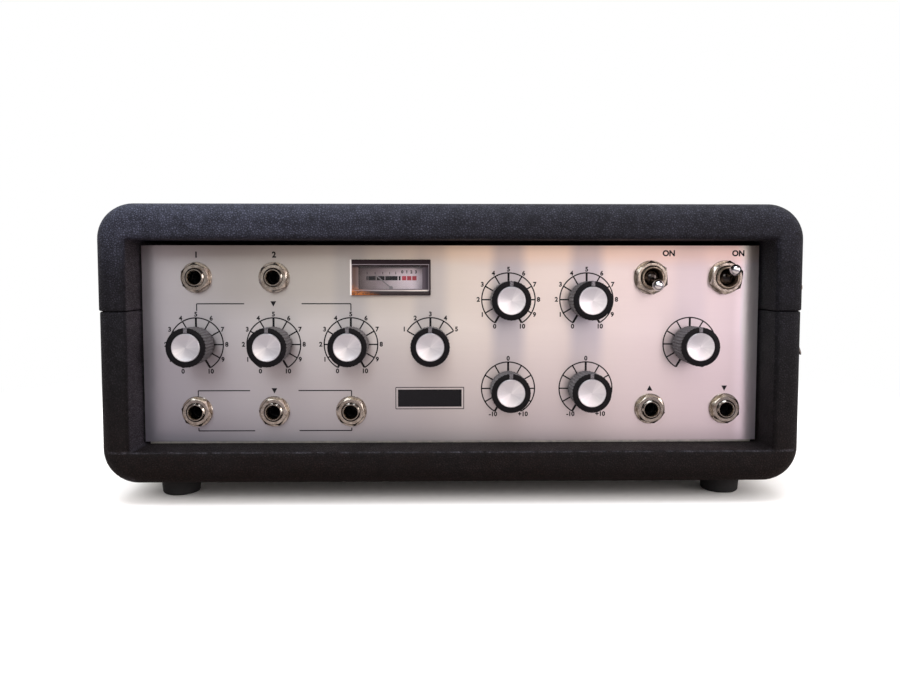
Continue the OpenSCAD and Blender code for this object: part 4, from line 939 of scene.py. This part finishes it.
# ------------------------------------------------------------
# Jacks, nuts and washers
# Quarter inch jacks with threaded nickel bushes. Every jack, toggle and control is held by a hexagonal nut
# over a flat washer, turned as it came when it was tightened.

nickel, shader, place = finish("aged_nickel", Metallic=1.0)
stain = smooth(noise(place, 0.5, 5.0, 0.6), 0.35, 0.75)
specks = smooth(noise(place, 2.4, 3.0), 0.55, 0.75)
metal = blend(stain, (0.58, 0.53, 0.46), (0.24, 0.19, 0.15))
blend(specks * 0.6, metal, (0.09, 0.065, 0.05)).feed(shader, "Base Color")
(0.12 + 0.18 * stain + 0.12 * specks).feed(shader, "Roughness")
bump(noise(place, 3.0, 4.0), 0.03).feed(shader, "Normal")

moulded_black = even_finish(
    "moulded_black", grain=(0.9, 4.0), colours=((0.011, 0.011, 0.012), (0.026, 0.026, 0.028)),
    rough=(0.36, 0.2), relief=0.015, relief_grain=(5.0, 3.0), Specular_IOR_Level=0.45)


def hex_nut(flats, hole_r, low, high):
    """Points and faces of a hexagonal nut whose corners are chamfered on both faces by turning."""
    sides, chamfer_r, slope = 72, flats / 2 * 0.97, tan(radians(30))
    points = []
    for i in range(sides):
        a = 2 * pi * i / sides
        within = (a % (pi / 3)) - pi / 6
        reach = flats / 2 / cos(within)
        drop = max(0.0, (reach - chamfer_r) * slope)
        for r, z in ((hole_r + 0.25, high), (chamfer_r, high), (reach, high - drop), (reach, low + drop),
                     (chamfer_r, low), (hole_r + 0.25, low), (hole_r, low + 0.25), (hole_r, high - 0.25)):
            points.append((r * cos(a), r * sin(a), z))
    faces = []
    for i in range(sides):
        j = (i + 1) % sides
        faces += [(i * 8 + k, j * 8 + k, j * 8 + (k + 1) % 8, i * 8 + (k + 1) % 8) for k in range(8)]
    return points, faces


def washer(outer_r, hole_r, thickness, edge=0.15):
    """Points and faces of a flat washer with broken edges."""
    top, side = thickness, outer_r - edge
    return turned([(hole_r, 0), (hole_r, top), (side, top), (outer_r, top - edge), (outer_r, 0)], 72)


def threaded(outer_r, inner_r, low, thread_low, high, mouth=0.35, pitch=0.7, depth=0.28, lip=0.35):
    """Points and faces of a threaded bush: a tube with grooves between thread_low and its rounded lip, and a
    mouth opened out by a chamfer."""
    root_r, z = outer_r - depth, high - lip
    profile = [(inner_r, low), (inner_r, high - 1.5 * mouth), (inner_r + mouth, high)]
    profile += [(outer_r - lip - depth, high), (root_r, z)]
    while z - pitch > thread_low:
        profile += [(outer_r, z - pitch * 0.35), (outer_r, z - pitch * 0.65), (root_r, z - pitch)]
        z -= pitch
    profile.append((root_r, low))
    return turned(profile, 64)


bush_r, bore_r, jack_out, jack_in, sheet_back = 4.75, 3.25, 4.2, 22.0, -2.7
washer_t, nut_t, nut_flats, washer_r = 0.76, 2.4, 13.4, 8.0
jack_sites = [(x, switch_row) for x in line_x] + [(x, mic_input_row) for x in mic_x]
jack_sites += [(output_x, output_row), (pedal_x, output_row)]
toggle_sites = [(standby_x, switch_row), (power_x, switch_row)]
jack_places, toggle_places, control_places = (
    [on_panel(x, up) for x, up in sites] for sites in (jack_sites, toggle_sites, knobs.values())
)

bush = threaded(bush_r, bore_r, sheet_back, 2.6, jack_out, 0.55)
jack_bushes = set_out("jack_bushes", bush, jack_places, facing_front, 0.0, nickel)
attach(jack_bushes, "case")
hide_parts("phone_jacks")

body_half, body_end = 7.5, sheet_back - jack_in
jack_block = chamfered((-body_half, -body_half, body_end), (body_half, body_half, sheet_back), 0.4)
bore_depth = 24.0
jack_floor = jack_out - bore_depth
jack_bore = turned([(0, jack_floor), (bore_r, jack_floor), (bore_r, 0), (0, 0)], 48)
jack_block = cut(shape("jack_block", *jack_block), jack_bore)
jack_bodies = set_out("jack_bodies", jack_block, jack_places, facing_front, 0.0, moulded_black)
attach(jack_bodies, "case")

pot_bush_r, pot_washer_r, pot_washer_t, pot_nut_flats, pot_nut_t = 4.7, 7.0, 0.56, 12.0, 2.0
toggle_r, toggle_washer_r, toggle_washer_t, toggle_flats, toggle_nut_t = 6.0, 8.8, 0.56, 15.4, 3.4
slack, washer_turn, nut_turn = 0.05, 6.3, 1.0
hardware = [
    ("jack", jack_places, bush_r, washer_r, washer_t, nut_flats, nut_t),
    ("toggle", toggle_places, toggle_r, toggle_washer_r, toggle_washer_t, toggle_flats, toggle_nut_t),
    ("control", control_places, pot_bush_r, pot_washer_r, pot_washer_t, pot_nut_flats, pot_nut_t),
]
for kind, places, hole, outer, thick, flats, nut_thick in hardware:
    low = thick + 0.04
    ring, nut = washer(outer, hole + slack, thick), hex_nut(flats, hole + slack, low, low + nut_thick)
    washers = set_out(kind + "_washers", ring, places, facing_front, washer_turn, nickel)
    nuts = set_out(kind + "_nuts", nut, places, facing_front, nut_turn, nickel, 25.0)
    for piece in (washers, nuts):
        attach(piece, "case")
    if kind == "jack":
        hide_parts("panel_nuts")

# ------------------------------------------------------------
# Toggle switches
# Two switches with threaded bushes and chromed levers, which have a pivot ball in the bush, a tapered bat
# and a ball end.

toggle_out, lever_bore_r, lever_well = 5.5, 4.4, 9.0
dark_nickel = even_finish(
    "dark_nickel", grain=(0.8, 4.0), limits=(0.3, 0.7), colours=((0.62, 0.52, 0.41), (0.24, 0.19, 0.14)),
    rough=(0.22, 0.2), Metallic=1.0)
toggle_bush = threaded(toggle_r, lever_bore_r, -lever_well, 4.4, toggle_out, 0.6)
toggle_bushes = set_out("toggle_bushes", toggle_bush, toggle_places, facing_front, 0.0, dark_nickel)
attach(toggle_bushes, "case")
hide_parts("switch_bodies")

box_half_w, box_half_h, box_back = 6.5, 10.0, sheet_back - 16.0
toggle_box = chamfered((-box_half_w, -box_half_h, box_back), (box_half_w, box_half_h, sheet_back), 0.5)
lever_room = turned([(0, -lever_well), (lever_bore_r, -lever_well), (lever_bore_r, 0), (0, 0)], 48)
toggle_block = cut(shape("toggle_block", *toggle_box), lever_room)
toggle_bodies = set_out("toggle_bodies", toggle_block, toggle_places, facing_front, 0.0, moulded_black)
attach(toggle_bodies, "case")

chrome, shader, place = finish("bright_chrome", Metallic=1.0)
haze_and_painted_reflection = smooth(noise(place, 1.2, 4.0), 0.45, 0.8)
plated = blend(haze_and_painted_reflection, (0.86, 0.86, 0.87), (0.62, 0.60, 0.58))
# Painted shade: the lever is nearly black within the bush, close to the panel.
bat_out = panel_front - xyz(place)[1]
blend(smooth(bat_out, 4.5, 8.0), (0.05, 0.043, 0.040), plated).feed(shader, "Base Color")
(0.07 + 0.16 * haze_and_painted_reflection).feed(shader, "Roughness")

pivot_r, bat_l, ball_r, lever_tail = 4.3, 14.0, 2.85, 5.0
lever_tilt = 16.0


def ball_points(radius, centre, start, end, steps):
    """Profile points on a ball, with angles in degrees from its top."""
    angles = [radians(start + (end - start) * i / steps) for i in range(steps + 1)]
    return [(radius * sin(a), centre + radius * cos(a)) for a in angles]


ball_neck = 46.0
lever_profile = [(0, -lever_tail), (1.1, -lever_tail), (1.4, -lever_tail + 0.3), (1.4, -4.1)]
lever_profile += ball_points(pivot_r, 0, 161.0, 19.0, 18)
lever_profile += [(1.42, pivot_r + 0.6), (1.5, 6.5), (1.72, 8.5), (1.92, 10.5)]
lever_profile += ball_points(ball_r, bat_l, 180 - ball_neck, 0, 14)
for lever, (x, up), tilt, body, node in (
    ("standby_bat", (standby_x, switch_row), lever_tilt, "standby_toggle", "standby_lever"),
    ("power_bat", (power_x, switch_row), -lever_tilt, "power_toggle", "power_lever"),
):
    bat = shape(lever, *turned(lever_profile, 48), chrome)
    bat.data.transform(Matrix.Rotation(radians(tilt), 4, "X"))
    stand(bat, on_panel(x, up))
    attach(bat, body)
    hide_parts(node)

# ------------------------------------------------------------
# Level meter
# A smoked bezel with sloping sides round a clear window, and behind it a silvery dial with a row of black
# and red segments, fine scale ticks and a thin needle. The bezel's colour holds painted highlights and
# reflections, and the dial's colour painted light and a painted shadow along its top.

meter_x, meter_up = -32.0, switch_row
bezel_w, bezel_h, bezel_out = 41.6, 18.5, 2.5
window_w, window_h = 33.0, 12.0
dial_out = -5.5


def oblong(width, height, out, corner=0.4, steps=3):
    """The outline of a rectangle with rounded corners, at a height above the panel."""
    points = []
    for k, (sx, sy) in enumerate(((1, 1), (-1, 1), (-1, -1), (1, -1))):
        for i in range(steps + 1):
            a = pi / 2 * (k + i / steps)
            x = sx * (width / 2 - corner) + corner * cos(a)
            y = sy * (height / 2 - corner) + corner * sin(a)
            points.append((x, y, out))
    return points


frame_w, frame_h = 39.2, 12.8
body_w, body_h, body_back, body_wall = 37.0, 16.2, -23.9, 1.1
cavity_w, cavity_h = body_w - 2 * body_wall, body_h - 2 * body_wall
bezel_loops = [oblong(width, height, out) for width, height, out in (
    (bezel_w, bezel_h, 0.0), (bezel_w, bezel_h, bezel_out - 0.4), (bezel_w - 0.6, bezel_h - 0.6, bezel_out),
    (frame_w + 1.0, bezel_h - 1.8, bezel_out), (frame_w + 0.6, frame_h + 0.6, bezel_out - 0.5),
    (frame_w, frame_h, bezel_out - 0.3), (window_w + 0.4, window_h + 0.3, 1.5), (window_w, window_h, 1.3),
    (window_w, window_h, dial_out + 0.3), (cavity_w, cavity_h, dial_out + 0.3),
    (cavity_w, cavity_h, body_back), (body_w, body_h, body_back), (body_w, body_h, 0.0),
)]
back_cover = block((-cavity_w / 2, -cavity_h / 2, body_back), (cavity_w / 2, cavity_h / 2, body_back + 1.5))

smoked, shader, place = finish("smoked_bezel", Specular_IOR_Level=0.28)
across, level = xyz(place)[::2]
meter_across, meter_upward = across - meter_x, level - (panel_mid_z + meter_up)
side_reach, height_reach = meter_across.math("ABSOLUTE"), meter_upward.math("ABSOLUTE")
mottle = noise(place, 0.8, 3.0)
half_w, half_h = frame_w / 2, frame_h / 2
# Painted highlights: a light line just outside the frame round the window, and a gleam along the lower edge
# below the window, brighter to the right.
to_window, bright_edge = (
    smooth(side_reach, half_w + far, half_w + near) * smooth(height_reach, half_h + far, half_h + near)
    for far, near in ((0.15, -0.1), (0.5, 0.3))
)
bright_edge = bright_edge * (1 - to_window)
gleam = smooth(meter_upward, -5.8, -6.2) * smooth(meter_upward, -7.3, -6.8)
gleam = gleam * smooth(meter_across, -15.0, 2.0) * smooth(meter_across, 20.0, 18.5)
gleam = gleam * (0.45 + 0.5 * smooth(meter_across, 4.0, 14.0))
leftward = 0.0 - meter_across
# Painted reflection: amber over the lower left of the bezel.
painted_amber_reflection = smooth(leftward - 2.6 * meter_upward, 26.0, 42.0)
# Painted highlight: the bezel's left side face is near white.
painted_lit_left_face = smooth(leftward, bezel_w / 2 - 0.95, bezel_w / 2 - 0.75)
tone = blend(mottle, (0.010, 0.005, 0.007), (0.024, 0.013, 0.016))
tone = blend(bright_edge * 0.7, tone, (0.50, 0.44, 0.48))
tone = blend(gleam, tone, (0.80, 0.72, 0.66))
# Painted reflection of the dial on the sloping sides round the window: lilac grey, dark at both ends, with
# painted shade along the top.
inner_tone = ramp(meter_across / bezel_w + 0.5, [
    (0.06, (0.10, 0.06, 0.05)), (0.16, (0.22, 0.17, 0.17)), (0.86, (0.20, 0.16, 0.19)),
    (0.95, (0.05, 0.04, 0.05)),
])
inner_tone = blend(smooth(meter_upward, 4.6, 5.8), inner_tone, (0.030, 0.018, 0.020))
tone = blend(to_window, tone, inner_tone)
# The painted amber reflection is broken into dots.
amber_dots = smooth(noise(place, 1.1, 2.0), 0.35, 0.6)
tone = blend(painted_amber_reflection * (0.25 + 0.65 * amber_dots), tone, (0.52, 0.16, 0.035))
blend(painted_lit_left_face, tone, (0.95, 0.90, 0.86)).feed(shader, "Base Color")
(0.14 + 0.1 * mottle).feed(shader, "Roughness")
bezel = shape("meter_bezel", *together(lofted(bezel_loops), back_cover), smoked)
stand(bezel, on_panel(meter_x, meter_up))
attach(bezel, "case")
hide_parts("meter_case")

silvered, shader, place = finish("silvered_dial", Metallic=0.25)
across, level = xyz(place)[::2]
cloud = noise(place, 0.12, 3.0)
# Painted light: the dial is dark on the left, brightest right of the middle and darker again at the right
# end, and a painted shadow of the bezel lies along its top.
dial_tone = ramp((across - meter_x) / window_w + 0.5 + 0.15 * (cloud - 0.5), [
    (0.0, (0.13, 0.10, 0.10)), (0.25, (0.25, 0.20, 0.21)), (0.55, (0.56, 0.48, 0.51)),
    (0.82, (0.92, 0.80, 0.86)), (1.0, (0.50, 0.43, 0.49)),
])
painted_shadow_under_top = smooth(level - (panel_mid_z + meter_up), 4.2, 5.6)
blend(painted_shadow_under_top, dial_tone, (0.06, 0.045, 0.05)).feed(shader, "Base Color")
(0.4 + 0.15 * cloud).feed(shader, "Roughness")
repaint(silvered, "meter_dial")

segment_low, segment_high = -1.55, 0.7
mark_low, mark_high, mark_half_w = 1.6, 2.9, 0.16
label_up, label_h = 2.8, 1.5
black_segments = [(-13.0, -12.3), (-12.0, -8.15), (-7.6, -3.5), (-3.1, 3.4), (3.9, 4.9)]
red_segments = [(5.7, 7.9), (8.3, 10.6), (11.0, 13.3)]
scale_marks = dict.fromkeys((-12.6, -8.4, -4.4, -0.8, 2.4), "") | {5.8: "0", 8.2: "1", 10.6: "2", 13.0: "3"}


def on_dial(x, up):
    """A point of the shared frame, in millimetres, from a place on the meter's dial."""
    return on_panel(meter_x + x, meter_up + up, dial_out + 0.04)


dial_black, dial_red = (
    [inked(corners_of(*ends, segment_low, segment_high), on_dial) for ends in segments]
    for segments in (black_segments, red_segments)
)
for x, label in scale_marks.items():
    mark = corners_of(x - mark_half_w, x + mark_half_w, mark_low, mark_high)
    dial_black.append(lettered(label, x, label_up, label_h, on_dial) if label else inked(mark, on_dial))
red_ink = even_finish(
    "red_ink", grain=(1.0, 3.0), colours=((0.42, 0.02, 0.04), (0.60, 0.06, 0.09)), rough=(0.5, 0.0))
for tone, parts, material in (("black", dial_black, ink), ("red", dial_red, red_ink)):
    marks = printed("dial_segments_" + tone, parts, material)
    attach(marks, "case")

clear, shader, place = finish("clear_window", Base_Color=(0.45, 0.46, 0.47, 1), Specular_IOR_Level=0.4)
dust = smooth(noise(place, 0.7, 5.0), 0.5, 0.85)
(0.02 + 0.05 * dust).feed(shader, "Alpha")
(0.05 + 0.25 * dust).feed(shader, "Roughness")
repaint(clear, "meter_lens")

needle_paint = even_finish(
    "needle_paint", grain=(1.5,), colours=((0.16, 0.14, 0.15), (0.24, 0.22, 0.23)), rough=(0.5, 0.0))
repaint(needle_paint, "meter_needle")

# ------------------------------------------------------------
# Back: rear plate, screws, fuse holder and cord gland
# A black steel plate with a row of vent slots, held by four pan-head screws to the chassis. The fuse holder
# and the ribbed gland of the mains cord stand in it.

black_paint = even_finish(
    "black_paint", grain=(0.08, 5.0), limits=(0.55, 0.85), rough=(0.42, 0.2),
    colours=((0.014, 0.014, 0.015), (0.036, 0.035, 0.034)),
    relief=0.03, relief_grain=(1.2, 3.0), Specular_IOR_Level=0.5)
repaint(black_paint, "rear_plate")

zinc, shader, place = finish("zinc_plate", Metallic=0.9)
spangle = noise(place, 0.22, 5.0, 0.65)
blend(smooth(spangle, 0.3, 0.7), (0.46, 0.46, 0.45), (0.66, 0.65, 0.60)).feed(shader, "Base Color")
(0.30 + 0.22 * spangle).feed(shader, "Roughness")
bump(noise(place, 1.5, 4.0), 0.02).feed(shader, "Normal")


def slotted_screw(head_r, head_h, shank_r, shank_l, slot_w=0.9):
    """A pan-head screw with a straight slot, its head on the origin's plane."""
    top = [(head_r * cos(a), head_h * (0.45 + 0.55 * sin(a))) for a in quarter(5)]
    profile = [(0, -shank_l), (shank_r, -shank_l), (shank_r, 0), (head_r, 0)] + top
    slot = block((-head_r - 1, -slot_w / 2, head_h * 0.45), (head_r + 1, slot_w / 2, head_h + 1))
    return cut(shape("screw_blank", *turned(profile, 40)), slot)


rear_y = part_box("rear_plate")[1].y / MM
tray_floor, deck_top, bridge_top = 28.4, 95.0, 98.0
rear_screw_in = 7.5
rear_screw_x, rear_screw_z = inner_side - 18.0, (tray_floor + rear_screw_in, deck_top - rear_screw_in)
rear_places = [(x * rear_screw_x, rear_y, z) for x in (-1, 1) for z in rear_screw_z]
pillar_x, pillar_y = inner_side - 12.0, (-59.0, 103.8)
motor_x, motor_y, motor_screw = -35.0, 18.0, 20.0
deck_places = [(x * pillar_x, y, deck_top) for x in (-1, 0, 1) for y in pillar_y]
deck_places += [(motor_x + s * motor_screw, motor_y, deck_top) for s in (-1, 1)]
bridge_x, bridge_y = (-88.0, 30.0), -24.7
bridge_places = [(x, bridge_y, bridge_top) for x in bridge_x]
bolt_places, nut_places = (
    [(x * bolt_x, y * bolt_y, z) for x, y in corners] for z in (base_bottom + bolt_sink, tray_floor)
)
foot_screw_places = [(x, y, foot_well) for x, y, z in foot_places]
small_head, screw_turn = (2.8, 1.8, 1.5), 3.1
fixings = [
    ("rear_screws", slotted_screw(*small_head, 5.0), rear_places, facing_back),
    ("deck_screws", slotted_screw(*small_head, 9.0), deck_places, upright),
    ("bridge_screws", slotted_screw(*small_head, 6.0), bridge_places, upright),
    ("foot_screws", slotted_screw(4.0, 2.4, 2.0, 17.0, 1.1), foot_screw_places, facing_down),
    ("chassis_bolts", slotted_screw(4.8, 3.4, 2.5, 19.4, 1.3), bolt_places, facing_down),
    ("chassis_nuts", hex_nut(8.0, 2.55, 0, 4.0), nut_places, upright),
]
for name, pattern, places, lean in fixings:
    fixing = set_out(name, pattern, places, lean, screw_turn, zinc)
    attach(fixing, "case")
    if name == "rear_screws":
        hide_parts("screws")

gland_x, fuse_x, inlet_z = inner_side - 40.0, inner_side - 72.0, 56.4
gland_profile = [(3.5, -8.0), (3.5, 11.0), (5.2, 11.0), (5.6, 10.6)]
for i in range(3):
    z = 10.2 - 2.2 * i
    gland_profile += [(6.0, z - 0.2), (6.0, z - 1.2), (5.3, z - 1.5), (5.3, z - 1.9)]
gland_profile += [(6.0, 3.4), (6.0, 3.0), (8.6, 3.0), (9.0, 2.6), (9.0, 0.0), (6.0, 0.0), (6.0, -8.0)]
gland_places = [(gland_x, rear_y, inlet_z)]
gland = set_out("ribbed_gland", turned(gland_profile, 48), gland_places, facing_back, 0.0, moulded_black)
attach(gland, "case")
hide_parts("cord_gland")

fuse_profile = [(0, -26.0), (5.6, -26.0), (6.0, -25.6), (6.0, 0), (8.0, 0)]
fuse_profile += [(8.0, 1.4 + 0.9 * i) for i in range(8)] + [(7.7, 9.0), (7.2, 9.7), (6.4, 10.0), (0, 10.0)]
fuse_ribs, rib_sizes = 24, (0.45, 7.9, 1.0, 8.0)
fuse_cap = fluted("fuse_cap", fuse_profile, 5, fuse_ribs, rib_sizes, moulded_black, 45.0)
stand(fuse_cap, (fuse_x, rear_y, inlet_z), facing_back)
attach(fuse_cap, "case")
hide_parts("fuse_holder")

# ------------------------------------------------------------
# Catches
# Nickelled spring catches: hinge plates on the lid, one-piece clips and studs on the lower part.

repaint(nickel, "catch_studs", "catch_plates", "catches_left", "catches_right")

# ------------------------------------------------------------
# Chassis and deck
# A zinc plated tray and pillars carry the deck, which is satin painted steel. All of it stays as it was cut.

repaint(zinc, "chassis_tray", "deck_pillars", "pinch_arm", "tension_arm")
repaint(rubber, "drive_belt", "pinch_roller")

deck_paint, shader, place = finish("deck_paint", Specular_IOR_Level=0.5)
hammer = place.node("TexVoronoi", {"feature": "SMOOTH_F1"}, {"Vector": place, "Scale": 0.35})
wear = smooth(noise(place, 0.06, 5.0), 0.5, 0.8)
blend(wear, (0.20, 0.215, 0.22), (0.27, 0.28, 0.28)).feed(shader, "Base Color")
(0.34 + 0.16 * hammer).feed(shader, "Roughness")
bump(hammer, 0.25).feed(shader, "Normal")
repaint(deck_paint, "deck_plate", "drive_motor")

brass = even_finish(
    "turned_brass", grain=(0.3, 4.0), limits=(0.35, 0.75), colours=((0.80, 0.60, 0.28), (0.48, 0.33, 0.15)),
    rough=(0.22, 0.2), relief=0.02, relief_grain=(3.0, 3.0, 0.5, (0.2, 0.2, 3)), Metallic=1.0)
repaint(brass, "capstan_bearing", "motor_pulley")

# Each row has a finish's name, noise, two colours, roughness and its gain, relief, settings and nodes.
metal = {"Metallic": 1.0}
for name, grain, first, second, rough, relief, settings, painted in (
    ("turned_steel", (2.5, 3.0, 0.5, (0.2, 0.2, 4)), (0.50, 0.51, 0.53), (0.70, 0.70, 0.71), (0.18, 0.14),
     0.015, metal, ("flywheel", "tape_guides")),
    ("milled_bar", (1.4, 3.0, 0.5, (1, 0.08, 1)), (0.52, 0.53, 0.55), (0.74, 0.74, 0.75), (0.26, 0.16),
     0.02, {"Metallic": 0.95}, ("head_bridge",)),
    ("lapped_heads", (2.0, 4.0, 0.5, (3, 1, 0.3)), (0.58, 0.57, 0.55), (0.80, 0.79, 0.77), (0.12, 0.16),
     0.0, metal, ("record_head", "playback_heads")),
    ("ferrite_head", (2.2, 4.0), (0.045, 0.032, 0.026), (0.095, 0.070, 0.055), (0.28, 0.2),
     0.0, {"Specular_IOR_Level": 0.6}, ("erase_head",)),
    ("oxide_tape", (0.25, 4.0, 0.5, (1, 1, 0.2)), (0.060, 0.030, 0.018), (0.105, 0.055, 0.034), (0.26, 0.14),
     0.0, {}, ("tape_loop",)),
    ("varnished_core", (3.0, 2.0, 0.5, (3, 0.05, 0.05)), (0.06, 0.052, 0.046), (0.16, 0.145, 0.13),
     (0.35, 0.25), 0.08, {}, ("power_transformer",)),
    ("phenolic_board", (0.6, 5.0, 0.6), (0.20, 0.12, 0.045), (0.34, 0.22, 0.09), (0.4, 0.2),
     0.0, {"Specular_IOR_Level": 0.45}, ("circuit_board", "mode_switch")),
    ("pot_metal", (0.4, 4.0), (0.50, 0.48, 0.44), (0.68, 0.66, 0.61), (0.28, 0.2),
     0.0, {"Metallic": 0.9}, ("control_pots",)),
):
    repaint(even_finish(name, grain, (first, second), rough, relief=relief, **settings), *painted)
